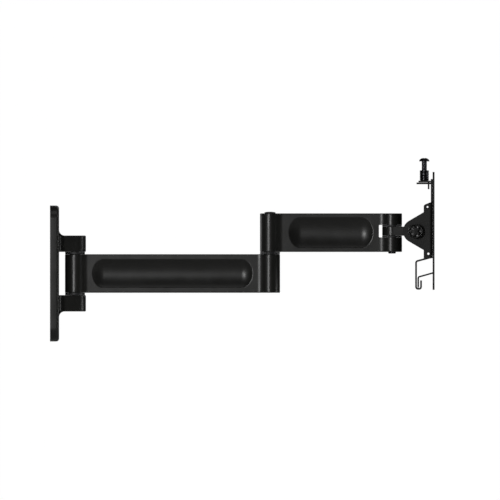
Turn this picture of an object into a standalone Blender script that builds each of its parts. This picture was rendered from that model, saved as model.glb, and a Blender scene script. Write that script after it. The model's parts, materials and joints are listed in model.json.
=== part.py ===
"""A full-motion wall mount for a small flat screen.

Two arms swing on upright pins: the inner arm between two ears of the wall plate, and the outer arm on top of
the inner one at the elbow. A forked end on the outer arm holds a swivel block, and a tilt bracket turns on
that block about a level bolt with a hand knob. A screen plate hooks into the foot of the tilt bracket and is
locked to its top flange by two captive screws.

Units are metres. The origin is the middle of the wall plate's back face. +X points away from the wall, and
+Z is up. Each group of moving pieces hangs from an empty that stands on its joint's axis.
"""

import math

import bmesh
import bpy
from mathutils import Matrix

MM = 0.001

# ---- Driving sizes -------------------------------------------------------------------------------------

# Wall plate
PLATE_WIDTH = 76.0 * MM
PLATE_HEIGHT = 136.0 * MM
PLATE_THICK = 9.1 * MM
PLATE_CORNER = 14.0 * MM
PLATE_EDGE_ROUND = 2.7 * MM
PLATE_SKIN = 3.4 * MM
PLATE_RIM = 4.0 * MM
RIB_THICK = 3.0 * MM
SPINE_THICK = 8.0 * MM
POCKET_ROWS = 4
LAG_HOLE_RADIUS = 4.2 * MM
LAG_SEAT_RADIUS = 7.5 * MM
LAG_SEAT_DEPTH = 1.2 * MM
LAG_EDGE_MARGIN = 14.0 * MM
LAG_SIDE_MARGIN = 13.0 * MM

# Ears of the wall plate
EAR_THICK = 16.4 * MM
EAR_END_RADIUS = 10.9 * MM
EAR_FLARE = 4.5 * MM
EAR_FILLET = 5.5 * MM
EAR_EDGE = 1.0 * MM

# Joints
WALL_AXIS_OUT = 25.0 * MM
INNER_REACH = 195.0 * MM
OUTER_REACH = 122.0 * MM
TILT_OUT = 23.0 * MM
HEAD_RISE = 1.5 * MM
PIN_RADIUS = 4.0 * MM
HEAD_PIN_RADIUS = 3.8 * MM
TILT_BOLT_RADIUS = 3.0 * MM

# Arms
ARM_HEIGHT = 38.6 * MM
ARM_THICK = 12.0 * MM
BARREL_RADIUS = 10.0 * MM
BARREL_FILLET = 11.5 * MM
ARM_EDGE = 0.8 * MM
TROUGH_DEPTH = 3.5 * MM
TROUGH_END_RATIO = 0.8
INNER_TROUGH_BORDER = 5.2 * MM
INNER_TROUGH_START = 17.5 * MM
OUTER_TROUGH_BORDER = 4.0 * MM
OUTER_TROUGH_START = 19.1 * MM

# Bushes and washers
WALL_FLANGE = 2.0 * MM
ELBOW_FLANGE = 0.9 * MM
BUSH_WALL = 1.5 * MM
FLANGE_SET_IN = 0.1 * MM
BUSH_LENGTH = 12.0 * MM
HEAD_WASHER = 1.3 * MM
FRICTION_WASHER = 1.0 * MM
KNOB_WASHER = 1.0 * MM

# Fork and swivel block
KNUCKLE_HEIGHT = 9.2 * MM
KNUCKLE_RADIUS = 9.8 * MM
FORK_DEPTH = 13.2 * MM
NECK_WIDTH = 19.4 * MM
CROSS_RADIUS = 9.2 * MM
CROSS_WIDTH = 38.0 * MM

# Tilt bracket, measured from the tilt axis: x towards the screen, z up
BRACKET_SHEET = 1.8 * MM
WEB_BACK = 15.8 * MM
WEB_TOP = 52.2 * MM
NOSE_RADIUS = 12.0 * MM
CHEEK_BACK = 8.7 * MM
CHEEK_SHOULDER = 19.0 * MM
CHEEK_TOP = 27.0 * MM
CHEEK_CORNER = 2.5 * MM
CROWN_RISE = 2.1 * MM
BEND_RADIUS = 3.0 * MM
FLANGE_TIP = 1.5 * MM
FLANGE_TOP = 48.7 * MM
STRAP_SHEET = 1.7 * MM
STRAP_WIDTH = 20.0 * MM
STRAP_BEND = 1.6 * MM
STRAP_SLOPE = math.radians(15)
LEG_X = 1.05 * MM
LEG_TOP = -30.2 * MM
HOOK_BOTTOM = -58.5 * MM
HOOK_GAP = 3.3 * MM
HOOK_LIP = 8.4 * MM
FLANGE_INSET = 2.0 * MM
UPPER_PIP = (12.5 * MM, 24.2 * MM, 0.9 * MM)
LOWER_PIP = (13.4 * MM, -22.6 * MM, 1.1 * MM)

# Screen plate
SCREEN_SHEET = 1.8 * MM
SCREEN_SIZE = 118.0 * MM
SCREEN_RISE = 0.25 * MM
SCREEN_CORNER = 9.0 * MM
VESA_PITCHES = (100.0 * MM, 75.0 * MM)
VESA_HOLE_RADIUS = 2.5 * MM
WINDOW_WIDTH = 15.0 * MM
WINDOW_HEIGHT = 36.0 * MM
WINDOW_OUT = 38.0 * MM
TAB_SHEET = 1.6 * MM
TAB_WIDTH = 29.0 * MM
TAB_TIP = 3.4 * MM
TAB_LIP_X = 13.6 * MM
TAB_LIP_WIDTH = 14.0 * MM
TAB_LIP_BOTTOM = 41.9 * MM
TONGUE_ROOT = -41.6 * MM
TONGUE_KNEE = -45.9 * MM
TONGUE_BEND = 1.2 * MM
NOTCH_Z = 35.8 * MM
NOTCH_HEIGHT = 1.4 * MM
NOTCH_DEPTH = 1.6 * MM
NOTCH_CORNER = 0.3 * MM

# Lock screws and their collars
SCREW_X = 9.3 * MM
SCREW_SPACING = 18.0 * MM
SCREW_RADIUS = 2.55 * MM
SCREW_HEAD_RADIUS = 5.1 * MM
SCREW_HEAD_HEIGHT = 3.6 * MM
SCREW_TRAVEL = 8.7 * MM
RECESS_REACH = 2.6 * MM
RECESS_HALF = 0.45 * MM
RECESS_DEPTH = 1.6 * MM
COLLAR_WALL = 0.9 * MM
COLLAR_HEIGHT = 10.2 * MM

# Tilt bolt and knob
BOLT_HEAD_HEIGHT = 3.4 * MM
KNOB_RADIUS = 7.4 * MM
KNOB_LENGTH = 8.0 * MM
KNOB_RIM = 1.5 * MM
KNOB_DISH = 2.2 * MM
KNOB_LOBES = 5
HUB_SHARE = 0.56
LOBE_SHARE = 0.26
LOBE_OUT_SHARE = 0.62
KNOB_NUT_WALL = 2.0 * MM
KNOB_NUT_HEIGHT = 4.5 * MM

# Pin heads, nuts and caps
PIN_HEAD = 2.4 * MM
PIN_HEAD_HEIGHT = 3.6 * MM
PIN_NUT_WALL = 1.7 * MM
PIN_NUT_HEIGHT = 4.0 * MM
CAP_THICK = 1.5 * MM
ELBOW_PIN_HEAD = 1.35 * MM
PIN_CHAMFER_SHARE = 0.15
SOCKET_SHARE = 0.6
HEAD_PIN_TAIL = 1.6 * MM

# Turned edges
BLOCK_EDGE = 0.6 * MM
SMALL_EDGE = 0.5 * MM

# Clearances, and how far a cutter reaches past what it cuts
RUN_GAP = 0.15 * MM
REST_GAP = 0.3 * MM
PRESS_GAP = 0.12 * MM
SHAVE = 0.03 * MM
PAST = 1.0 * MM

# How finely round shapes are cut: the most that a facet may stand inside the true curve
FACET_SLACK = 0.06 * MM
LEAST_STEPS = 12
SPHERE_SEGMENTS = 32
SPHERE_RINGS = 28

# ---- Sizes that follow from the ones above ---------------------------------------------------------------

ARM_HALF = ARM_HEIGHT / 2
EAR_INNER = ARM_HALF + WALL_FLANGE + 2 * RUN_GAP
EAR_OUTER = EAR_INNER + EAR_THICK
ELBOW_STACK = 2 * ELBOW_FLANGE + 3 * RUN_GAP
OUTER_RISE = ARM_HEIGHT + ELBOW_STACK
SLOT_HEIGHT = KNUCKLE_HEIGHT + 2 * HEAD_WASHER + 4 * RUN_GAP
BUSH_OUTER = PIN_RADIUS + RUN_GAP + BUSH_WALL
PIN_NUT_FLATS = 2 * (PIN_RADIUS + PIN_NUT_WALL)
PIN_NUT_ROOM = PIN_NUT_FLATS / 2 / math.cos(math.pi / 6) + REST_GAP
KNOB_NUT_FLATS = 2 * (TILT_BOLT_RADIUS + KNOB_NUT_WALL)
ELBOW_CAP_RADIUS = PIN_RADIUS + ELBOW_PIN_HEAD + REST_GAP
COLLAR_STEM = SCREW_RADIUS + RUN_GAP + COLLAR_WALL
COLLAR_RADIUS = COLLAR_STEM + COLLAR_WALL
CHEEK_INNER = CROSS_WIDTH / 2 + FRICTION_WASHER + 2 * RUN_GAP
CHEEK_OUTER = CHEEK_INNER + BRACKET_SHEET
WEB_FRONT = WEB_BACK + BRACKET_SHEET
SCREEN_BACK = WEB_FRONT + RUN_GAP
SCREEN_FRONT = SCREEN_BACK + SCREEN_SHEET
TAB_BOTTOM = FLANGE_TOP + RUN_GAP
TAB_TOP = TAB_BOTTOM + TAB_SHEET
TONGUE_X = LEG_X + STRAP_SHEET / 2 + HOOK_GAP / 2 - REST_GAP
HOOK_RETURN_X = LEG_X + STRAP_SHEET + HOOK_GAP
TONGUE_BOTTOM = HOOK_BOTTOM + STRAP_SHEET + REST_GAP


# ---- Scene helpers ---------------------------------------------------------------------------------------


def clear_scene():
    """Removes every object, so that the model starts from nothing."""
    for obj in list(bpy.data.objects):
        bpy.data.objects.remove(obj, do_unlink=True)


def make_collection(name):
    """A new collection linked to the scene."""
    collection = bpy.data.collections.new(name)
    bpy.context.scene.collection.children.link(collection)
    return collection


def make_pivot(name, parent, location):
    """An empty on a joint's axis, which carries what turns about it."""
    pivot = bpy.data.objects.new(name, None)
    pivot.empty_display_size = 0.02
    pivot.parent = parent
    pivot.location = location
    PARTS.objects.link(pivot)
    return pivot


def add_object(mesh, name, parent):
    """An object for a mesh, which hangs from a pivot."""
    obj = bpy.data.objects.new(name, mesh)
    obj.parent = parent
    PARTS.objects.link(obj)
    return obj


def as_helper(obj):
    """Turns an object into a tool for a Boolean: out of the render, and drawn as wires."""
    PARTS.objects.unlink(obj)
    CUTTERS.objects.link(obj)
    obj.hide_render = True
    obj.display_type = "WIRE"
    return obj


def boolean(obj, helper, operation):
    """Adds a Boolean of a helper to an object."""
    if helper.name not in CUTTERS.objects:
        as_helper(helper)
    modifier = obj.modifiers.new(helper.name, "BOOLEAN")
    modifier.operation = operation
    modifier.solver = "EXACT"
    modifier.object = helper


def cut(obj, *helpers):
    """Takes each helper away from an object."""
    for helper in helpers:
        boolean(obj, helper, "DIFFERENCE")


def fuse(obj, *helpers):
    """Joins each helper to an object."""
    for helper in helpers:
        boolean(obj, helper, "UNION")


def smooth_rounds(mesh):
    """Shades round faces smooth and keeps real edges sharp."""
    mesh.shade_smooth()
    mesh.set_sharp_from_angle(angle=math.radians(32))


def finish(obj, colour, metallic, roughness):
    """Gives an object its own material."""
    material = bpy.data.materials.new(obj.name)
    material.use_nodes = True
    shader = material.node_tree.nodes["Principled BSDF"]
    shader.inputs["Base Color"].default_value = (*colour, 1.0)
    shader.inputs["Metallic"].default_value = metallic
    shader.inputs["Roughness"].default_value = roughness
    obj.data.materials.clear()
    obj.data.materials.append(material)
    return obj


BLACK_COAT = ((0.028, 0.028, 0.028), 0.0, 0.42)
BLACK_SHEET = ((0.020, 0.020, 0.020), 0.0, 0.48)
BLACK_PLASTIC = ((0.015, 0.015, 0.015), 0.0, 0.5)
BLACK_STEEL = ((0.045, 0.045, 0.048), 1.0, 0.4)
BUSH_NYLON = ((0.030, 0.030, 0.032), 0.0, 0.55)


# ---- Shape helpers ---------------------------------------------------------------------------------------


def round_steps(radius):
    """How many facets a full circle gets, in a multiple of four."""
    step = 2 * math.acos(1 - FACET_SLACK / radius)
    return max(LEAST_STEPS, 4 * math.ceil(math.pi / 2 / step))


def arc(centre, radius, start, end):
    """Points along an arc, angles in degrees, both ends included."""
    start, end = math.radians(start), math.radians(end)
    steps = max(2, round(abs(end - start) * round_steps(radius) / (2 * math.pi)))
    angles = [start + (end - start) * i / steps for i in range(steps + 1)]
    return [(centre[0] + radius * math.cos(a), centre[1] + radius * math.sin(a)) for a in angles]


def circle(centre, radius, steps=None):
    """Points round a full circle."""
    steps = steps or round_steps(radius)
    angles = [2 * math.pi * i / steps for i in range(steps)]
    return [(centre[0] + radius * math.cos(a), centre[1] + radius * math.sin(a)) for a in angles]


def hexagon(flats):
    """The corners of a hexagon of a given width across its flats."""
    radius = flats / 2 / math.cos(math.pi / 6)
    return circle((0, 0), radius, 6)


def rounded_box(width, height, radius, centre=(0.0, 0.0)):
    """A rectangle with round corners."""
    right, top = width / 2 - radius, height / 2 - radius
    points = []
    for sign_x, sign_y, start in ((1, 1, 0), (-1, 1, 90), (-1, -1, 180), (1, -1, 270)):
        corner = (centre[0] + sign_x * right, centre[1] + sign_y * top)
        points += arc(corner, radius, start, start + 90)
    return points


def tangent_angle(centre, radius, point, side):
    """The angle, in degrees, at which a line from a point touches a circle, above it or below it."""
    away = (point[0] - centre[0], point[1] - centre[1])
    lean = math.acos(radius / math.hypot(*away))
    return math.degrees(math.atan2(away[1], away[0]) - side * lean)


def rounded_path(points, radius):
    """A path whose inner corners are turned into arcs of a given radius."""
    path = [points[0]]
    for before, corner, after in zip(points, points[1:], points[2:]):
        back = math.atan2(before[1] - corner[1], before[0] - corner[0])
        ahead = math.atan2(after[1] - corner[1], after[0] - corner[0])
        turn = (ahead - back + math.pi) % (2 * math.pi) - math.pi
        trim = radius / math.tan(abs(turn) / 2)
        middle = back + turn / 2
        reach = radius / math.sin(abs(turn) / 2)
        centre = (corner[0] + reach * math.cos(middle), corner[1] + reach * math.sin(middle))
        start = (corner[0] + trim * math.cos(back), corner[1] + trim * math.sin(back))
        first = math.atan2(start[1] - centre[1], start[0] - centre[0])
        sweep = math.copysign(math.pi - abs(turn), -turn)
        path += arc(centre, radius, math.degrees(first), math.degrees(first + sweep))
    return path + [points[-1]]


def ribbon(points, thickness, radius):
    """The outline of a strip of sheet metal bent along a path."""
    path = rounded_path(points, radius)
    sides = ([], [])
    for i, point in enumerate(path):
        before, after = path[max(i - 1, 0)], path[min(i + 1, len(path) - 1)]
        along = math.atan2(after[1] - before[1], after[0] - before[0])
        for side, sign in zip(sides, (1, -1)):
            across = along + sign * math.pi / 2
            offset = thickness / 2
            side.append((point[0] + offset * math.cos(across), point[1] + offset * math.sin(across)))
    return sides[0] + sides[1][::-1]


PLANES = {
    "XY": Matrix(((1, 0, 0, 0), (0, 1, 0, 0), (0, 0, 1, 0), (0, 0, 0, 1))),
    "XZ": Matrix(((1, 0, 0, 0), (0, 0, -1, 0), (0, 1, 0, 0), (0, 0, 0, 1))),
    "YZ": Matrix(((0, 0, 1, 0), (1, 0, 0, 0), (0, 1, 0, 0), (0, 0, 0, 1))),
}


def slab(name, parent, outlines, thickness, plane="XY", offset=(0.0, 0.0, 0.0)):
    """A flat outline, with any holes, drawn as a curve in a plane, given a thickness and made a mesh."""
    curve = bpy.data.curves.new(name, "CURVE")
    curve.dimensions = "2D"
    curve.fill_mode = "BOTH"
    curve.extrude = thickness / 2
    for outline in outlines:
        spline = curve.splines.new("POLY")
        spline.points.add(len(outline) - 1)
        for point, (u, v) in zip(spline.points, outline):
            point.co = (u, v, 0.0, 1.0)
        spline.use_cyclic_u = True
    drawn = add_object(curve, name, None)
    graph = bpy.context.evaluated_depsgraph_get()
    mesh = bpy.data.meshes.new_from_object(drawn.evaluated_get(graph))
    bpy.data.objects.remove(drawn)
    bpy.data.curves.remove(curve)
    tidy = bmesh.new()
    tidy.from_mesh(mesh)
    bmesh.ops.remove_doubles(tidy, verts=tidy.verts, dist=1e-7)
    bmesh.ops.dissolve_limit(tidy, angle_limit=0.005, verts=tidy.verts, edges=tidy.edges)
    bmesh.ops.recalc_face_normals(tidy, faces=tidy.faces)
    tidy.to_mesh(mesh)
    tidy.free()
    mesh.transform(Matrix.Translation(offset) @ PLANES[plane])
    mesh.name = name
    smooth_rounds(mesh)
    return add_object(mesh, name, parent)


def soften(obj, width, segments, wanted):
    """Rounds the edges of a mesh whose middle passes a test."""
    edit = bmesh.new()
    edit.from_mesh(obj.data)
    sharp = math.radians(50)
    edges = [
        edge
        for edge in edit.edges
        if len(edge.link_faces) == 2
        and edge.calc_face_angle() > sharp
        and wanted((edge.verts[0].co + edge.verts[1].co) / 2)
    ]
    bmesh.ops.bevel(edit, geom=edges, offset=width, segments=segments, profile=0.5, affect="EDGES")
    edit.to_mesh(obj.data)
    edit.free()
    smooth_rounds(obj.data)


def turned(name, parent, profile, closed=False):
    """A shape turned about local Z. The profile runs down its outer side; a closed one makes a ring."""
    mesh = bpy.data.meshes.new(name)
    last = len(profile) - 1
    edges = [(i, i + 1) for i in range(last)]
    if closed:
        edges.append((last, 0))
    mesh.from_pydata([(r, 0.0, z) for r, z in profile], edges, [])
    obj = add_object(mesh, name, parent)
    screw = obj.modifiers.new("Turn", "SCREW")
    screw.steps = screw.render_steps = round_steps(max(r for r, z in profile))
    screw.use_merge_vertices = True
    screw.merge_threshold = 1e-6
    screw.use_smooth_shade = True
    return obj


def rod(name, parent, radius, low, high, place=(0.0, 0.0)):
    """A plain upright cylinder between two heights."""
    obj = turned(name, parent, [(0, high), (radius, high), (radius, low), (0, low)])
    obj.location = (place[0], place[1], 0)
    return obj


def stepped_bore(name, parent, top, stretches, place=(0.0, 0.0)):
    """The cutter for a bore that changes width. Going down, each stretch is a radius and where it ends."""
    profile = [(0, top)]
    start = top
    for radius, end in stretches:
        profile += [(radius, start), (radius, end)]
        start = end
    obj = turned(name, parent, profile + [(0, start)])
    obj.location = (place[0], place[1], 0)
    return obj


def ring(name, parent, inner, outer, low, high):
    """A plain upright ring between two heights."""
    return turned(name, parent, [(inner, high), (outer, high), (outer, low), (inner, low)], closed=True)


def box(name, parent, low, high):
    """A plain block between two corners."""
    centre = [(a + b) / 2 for a, b in zip(low, high)]
    edit = bmesh.new()
    bmesh.ops.create_cube(edit, size=1.0)
    size = [b - a for a, b in zip(low, high)]
    bmesh.ops.scale(edit, vec=size, verts=edit.verts)
    bmesh.ops.translate(edit, vec=centre, verts=edit.verts)
    mesh = bpy.data.meshes.new(name)
    edit.to_mesh(mesh)
    edit.free()
    return add_object(mesh, name, parent)


def lay_along_y(obj, towards_viewer=True):
    """Turns an upright shape level, with its top towards -Y or, if asked, +Y."""
    obj.rotation_euler = (math.radians(90 if towards_viewer else -90), 0, 0)
    return obj


# ---- Wall plate ------------------------------------------------------------------------------------------


def ear_outline():
    """The plan of an ear: a round end about the pin, flaring towards the plate."""
    centre = (WALL_AXIS_OUT, 0.0)
    root = (PLATE_THICK - PLATE_SKIN / 2, EAR_END_RADIUS + EAR_FLARE)
    upper = tangent_angle(centre, EAR_END_RADIUS, root, 1)
    points = arc(centre, EAR_END_RADIUS, -upper, upper)
    return points + [root, (root[0], -root[1])]


def ear_fillet(name, sign):
    """The hollow fillet where an ear's outer side runs into the plate."""
    depth = PLATE_SKIN / 2
    centre = (PLATE_THICK + EAR_FILLET, sign * (EAR_OUTER + EAR_FILLET))
    hollow = arc(centre, EAR_FILLET, 180, 180 + 90 * sign)
    foot = (PLATE_THICK + EAR_FILLET, sign * (EAR_OUTER - depth))
    back = PLATE_THICK - depth
    outline = hollow + [foot, (back, foot[1]), (back, centre[1])]
    width = 2 * (EAR_END_RADIUS + EAR_FLARE / 2)
    return slab(name, WALL, [outline], width, "XZ")


def plate_pockets():
    """Hollows in the back of the plate, between a spine and cross ribs, clear of the screw holes."""
    outlines = []
    left = SPINE_THICK / 2
    right = PLATE_WIDTH / 2 - PLATE_RIM
    top = PLATE_HEIGHT / 2 - LAG_EDGE_MARGIN - LAG_SEAT_RADIUS - RIB_THICK
    pitch = (2 * top + RIB_THICK) / POCKET_ROWS
    for side in (-1, 1):
        for row in range(POCKET_ROWS):
            middle = (side * (left + right) / 2, -top + pitch * row + (pitch - RIB_THICK) / 2)
            outlines.append(rounded_box(right - left, pitch - RIB_THICK, RIB_THICK / 2, middle))
    depth = 2 * (PLATE_THICK - PLATE_SKIN)
    return slab("plate_pockets", WALL, outlines, depth, "YZ")


def lag_positions():
    """Where the wall screws go: one row at the top and one at the foot, on the centre and at each side."""
    side = PLATE_WIDTH / 2 - LAG_SIDE_MARGIN
    height = PLATE_HEIGHT / 2 - LAG_EDGE_MARGIN
    return [(y, z) for z in (-height, height) for y in (-side, 0.0, side)]


def build_wall_plate():
    """The plate with its two ears, pin bore and screw holes."""
    outline = rounded_box(PLATE_WIDTH, PLATE_HEIGHT, PLATE_CORNER)
    plate = slab("wall_plate", WALL, [outline], PLATE_THICK, "YZ", (PLATE_THICK / 2, 0, 0))
    soften(plate, PLATE_EDGE_ROUND, 2, lambda middle: middle.x > 0.9 * PLATE_THICK)
    cut(plate, plate_pockets())
    head_room = PIN_HEAD_HEIGHT + CAP_THICK + 2 * REST_GAP
    seat = EAR_OUTER - head_room
    for sign, word in ((1, "upper"), (-1, "lower")):
        middle = sign * (EAR_INNER + EAR_OUTER) / 2
        ear = slab("ear_" + word, WALL, [ear_outline()], EAR_THICK, "XY", (0, 0, middle))
        outer = sign * EAR_OUTER
        soften(ear, EAR_EDGE, 2, lambda at: abs(at.z - outer) < 1e-5 and at.x > PLATE_THICK)
        fuse(plate, ear, ear_fillet("ear_fillet_" + word, sign))
    past = EAR_OUTER + PAST
    wide = PIN_RADIUS + PIN_HEAD + 2 * REST_GAP
    stretches = [(wide, seat), (PIN_RADIUS + PRESS_GAP, -seat), (wide, -past)]
    cut(plate, stepped_bore("wall_pin_bore", WALL_PIVOT, past, stretches))
    face = PLATE_THICK - LAG_SEAT_DEPTH
    stretches = [(LAG_SEAT_RADIUS, face), (LAG_HOLE_RADIUS, -PAST)]
    for number, (y, z) in enumerate(lag_positions(), 1):
        hole = stepped_bore(f"lag_hole_{number}", WALL, PLATE_THICK + PAST, stretches)
        hole.location = (0, y, z)
        hole.rotation_euler = (0, math.radians(90), 0)
        cut(plate, hole)
    finish(plate, *BLACK_COAT)


def pin_nut(name, parent, bore, top, flats=PIN_NUT_FLATS, height=PIN_NUT_HEIGHT):
    """A hexagon nut, whose top face is at a given height."""
    outlines = [hexagon(flats), circle((0, 0), bore)]
    return slab(name, parent, outlines, height, "XY", (0, 0, top - height / 2))


def headed_pin(name, parent, radius, top, bottom, head_radius, head_height):
    """A pin with a round head at its top and a hexagon socket in the head."""
    chamfer = radius * PIN_CHAMFER_SHARE
    profile = [
        (0, top),
        (head_radius - chamfer, top),
        (head_radius, top - chamfer),
        (head_radius, top - head_height),
        (radius, top - head_height),
        (radius, bottom + chamfer),
        (radius - chamfer, bottom),
        (0, bottom),
    ]
    pin = turned(name, parent, profile)
    depth = head_height * SOCKET_SHARE
    outline = hexagon(2 * radius * SOCKET_SHARE)
    cut(pin, slab(name + "_socket", parent, [outline], 2 * depth, "XY", (0, 0, top)))
    return finish(pin, *BLACK_STEEL)


def build_wall_hinge():
    """The pin through both ears, its nut, and the plugs that cover its ends."""
    head_top = EAR_OUTER - CAP_THICK - REST_GAP
    head_radius = PIN_RADIUS + PIN_HEAD
    headed_pin("wall_pin", WALL_PIVOT, PIN_RADIUS, head_top, -head_top, head_radius, PIN_HEAD_HEIGHT)
    flats = 2 * head_radius * math.cos(math.pi / 6)
    nut = pin_nut(
        "wall_pin_nut", WALL_PIVOT, PIN_RADIUS + RUN_GAP, -head_top + PIN_HEAD_HEIGHT, flats, PIN_HEAD_HEIGHT
    )
    finish(nut, *BLACK_STEEL)
    edge = CAP_THICK / 3
    radius = head_radius + REST_GAP
    for sign, word in ((1, "upper"), (-1, "lower")):
        profile = [
            (0, EAR_OUTER),
            (radius - edge, EAR_OUTER),
            (radius, EAR_OUTER - edge),
            (radius, EAR_OUTER - CAP_THICK),
            (0, EAR_OUTER - CAP_THICK),
        ]
        cap = turned("wall_cap_" + word, WALL_PIVOT, profile)
        if sign < 0:
            cap.rotation_euler = (math.pi, 0, 0)
        finish(cap, *BLACK_PLASTIC)


# ---- Arms ------------------------------------------------------------------------------------------------


def arm_outline(reach):
    """The plan of an arm: a barrel at each end, run into a flat body by hollow fillets."""
    rise = ARM_THICK / 2 + BARREL_FILLET
    span = BARREL_RADIUS + BARREL_FILLET
    run = math.sqrt(span**2 - rise**2)
    turn = math.degrees(math.atan2(rise, run))
    points = arc((reach, 0), BARREL_RADIUS, turn - 180, 180 - turn)
    points += arc((reach - run, rise), BARREL_FILLET, -turn, -90)
    points += arc((run, rise), BARREL_FILLET, -90, turn - 180)
    points += arc((0, 0), BARREL_RADIUS, turn, 360 - turn)
    points += arc((run, -rise), BARREL_FILLET, 180 - turn, 90)
    points += arc((reach - run, -rise), BARREL_FILLET, 90, turn)
    return [a for a, b in zip(points, points[1:] + points[:1]) if math.dist(a, b) > 1e-7]


def trough_cutter(name, parent, reach, start, border, side):
    """A stretched ball that scoops a shallow trough with round ends out of an arm's side."""
    half = ARM_HALF - border
    radius = (half**2 + TROUGH_DEPTH**2) / (2 * TROUGH_DEPTH)
    middle = reach - 2 * start - 2 * TROUGH_END_RATIO * half
    edit = bmesh.new()
    bmesh.ops.create_uvsphere(edit, u_segments=SPHERE_SEGMENTS, v_segments=SPHERE_RINGS, radius=radius)
    turn = Matrix.Rotation(math.pi / 2, 4, "X") @ Matrix.Rotation(math.pi / SPHERE_SEGMENTS, 4, "Z")
    bmesh.ops.transform(edit, matrix=turn, verts=edit.verts)
    for vertex in edit.verts:
        x = vertex.co.x
        vertex.co.x = x * TROUGH_END_RATIO
        if abs(x) > 1e-6:
            vertex.co.x += math.copysign(middle / 2, x)
    poles = [vertex for vertex in edit.verts if abs(vertex.co.x) < 1e-6]
    for pole in poles:
        split_pole(edit, pole, middle / 2)
    bmesh.ops.recalc_face_normals(edit, faces=edit.faces)
    mesh = bpy.data.meshes.new(name)
    edit.to_mesh(mesh)
    edit.free()
    obj = add_object(mesh, name, parent)
    obj.location = (reach / 2, side * (ARM_THICK / 2 - TROUGH_DEPTH + radius), 0)
    return obj


def split_pole(edit, pole, half):
    """Draws a ball's pole out into a line, so that the stretched ball keeps its full depth."""
    height, depth = pole.co.z, pole.co.y
    rim = [edge.other_vert(pole) for edge in pole.link_edges]
    rim.sort(key=lambda vertex: math.atan2(vertex.co.z - height, vertex.co.x))
    bmesh.ops.delete(edit, geom=[pole], context="VERTS")
    ends = {sign: edit.verts.new((sign * half, depth, height)) for sign in (-1, 1)}
    for here, there in zip(rim, rim[1:] + rim[:1]):
        first, second = math.copysign(1, here.co.x), math.copysign(1, there.co.x)
        if first == second:
            edit.faces.new((ends[first], here, there))
        else:
            edit.faces.new((ends[first], here, there, ends[second]))


def build_arm(name, parent, reach, start, border):
    """An arm with its troughs, level with its parent pivot and without its bores."""
    arm = slab(name, parent, [arm_outline(reach)], ARM_HEIGHT)
    soften(arm, ARM_EDGE, 1, lambda middle: abs(middle.z) > 0.9 * ARM_HALF)
    for side, word in ((-1, "near"), (1, "far")):
        cut(arm, trough_cutter(f"{name}_trough_{word}", parent, reach, start, border, side))
    return arm


def bush(name, parent, end, flange, facing):
    """A flanged bush pressed into a barrel's end, with its flange outside."""
    outer = BARREL_RADIUS - FLANGE_SET_IN
    inner = PIN_RADIUS + RUN_GAP
    face = end + RUN_GAP
    profile = [
        (inner, face + flange),
        (outer, face + flange),
        (outer, face),
        (BUSH_OUTER, face),
        (BUSH_OUTER, end - BUSH_LENGTH),
        (inner, end - BUSH_LENGTH),
    ]
    ring_object = turned(name, parent, profile, closed=True)
    if facing < 0:
        ring_object.rotation_euler = (math.pi, 0, 0)
    return finish(ring_object, *BUSH_NYLON)


def build_inner_arm():
    """The arm on the wall plate, its bushes, and the elbow pin with its nut."""
    arm = build_arm("inner_arm", WALL_PIVOT, INNER_REACH, INNER_TROUGH_START, INNER_TROUGH_BORDER)
    clear = PIN_RADIUS + REST_GAP
    seat = BUSH_OUTER + PRESS_GAP
    past = ARM_HALF + PAST
    seat_floor = ARM_HALF - BUSH_LENGTH - REST_GAP
    nut_floor = -ARM_HALF + PIN_NUT_HEIGHT + REST_GAP
    at_wall = [(seat, seat_floor), (clear, -seat_floor), (seat, -past)]
    at_elbow = [(seat, seat_floor), (clear, nut_floor), (PIN_NUT_ROOM, -past)]
    cut(arm, stepped_bore("inner_arm_wall_bore", WALL_PIVOT, past, at_wall))
    cut(arm, stepped_bore("inner_arm_elbow_bore", WALL_PIVOT, past, at_elbow, (INNER_REACH, 0)))
    finish(arm, *BLACK_COAT)

    bush("wall_bush_upper", WALL_PIVOT, ARM_HALF, WALL_FLANGE, 1)
    bush("wall_bush_lower", WALL_PIVOT, ARM_HALF, WALL_FLANGE, -1)
    lower = bush("elbow_bush_lower", WALL_PIVOT, ARM_HALF, ELBOW_FLANGE, 1)
    lower.location = (INNER_REACH, 0, 0)

    nut = pin_nut("elbow_pin_nut", WALL_PIVOT, PIN_RADIUS + RUN_GAP, -ARM_HALF + PIN_NUT_HEIGHT)
    nut.location = (INNER_REACH, 0, 0)
    finish(nut, *BLACK_STEEL)
    top = OUTER_RISE + ARM_HALF - CAP_THICK - REST_GAP
    head = ELBOW_CAP_RADIUS - REST_GAP
    pin = headed_pin("elbow_pin", WALL_PIVOT, PIN_RADIUS, top, -ARM_HALF, head, PIN_HEAD_HEIGHT)
    pin.location = (INNER_REACH, 0, 0)
    bpy.data.objects["elbow_pin_socket"].location = pin.location


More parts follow.
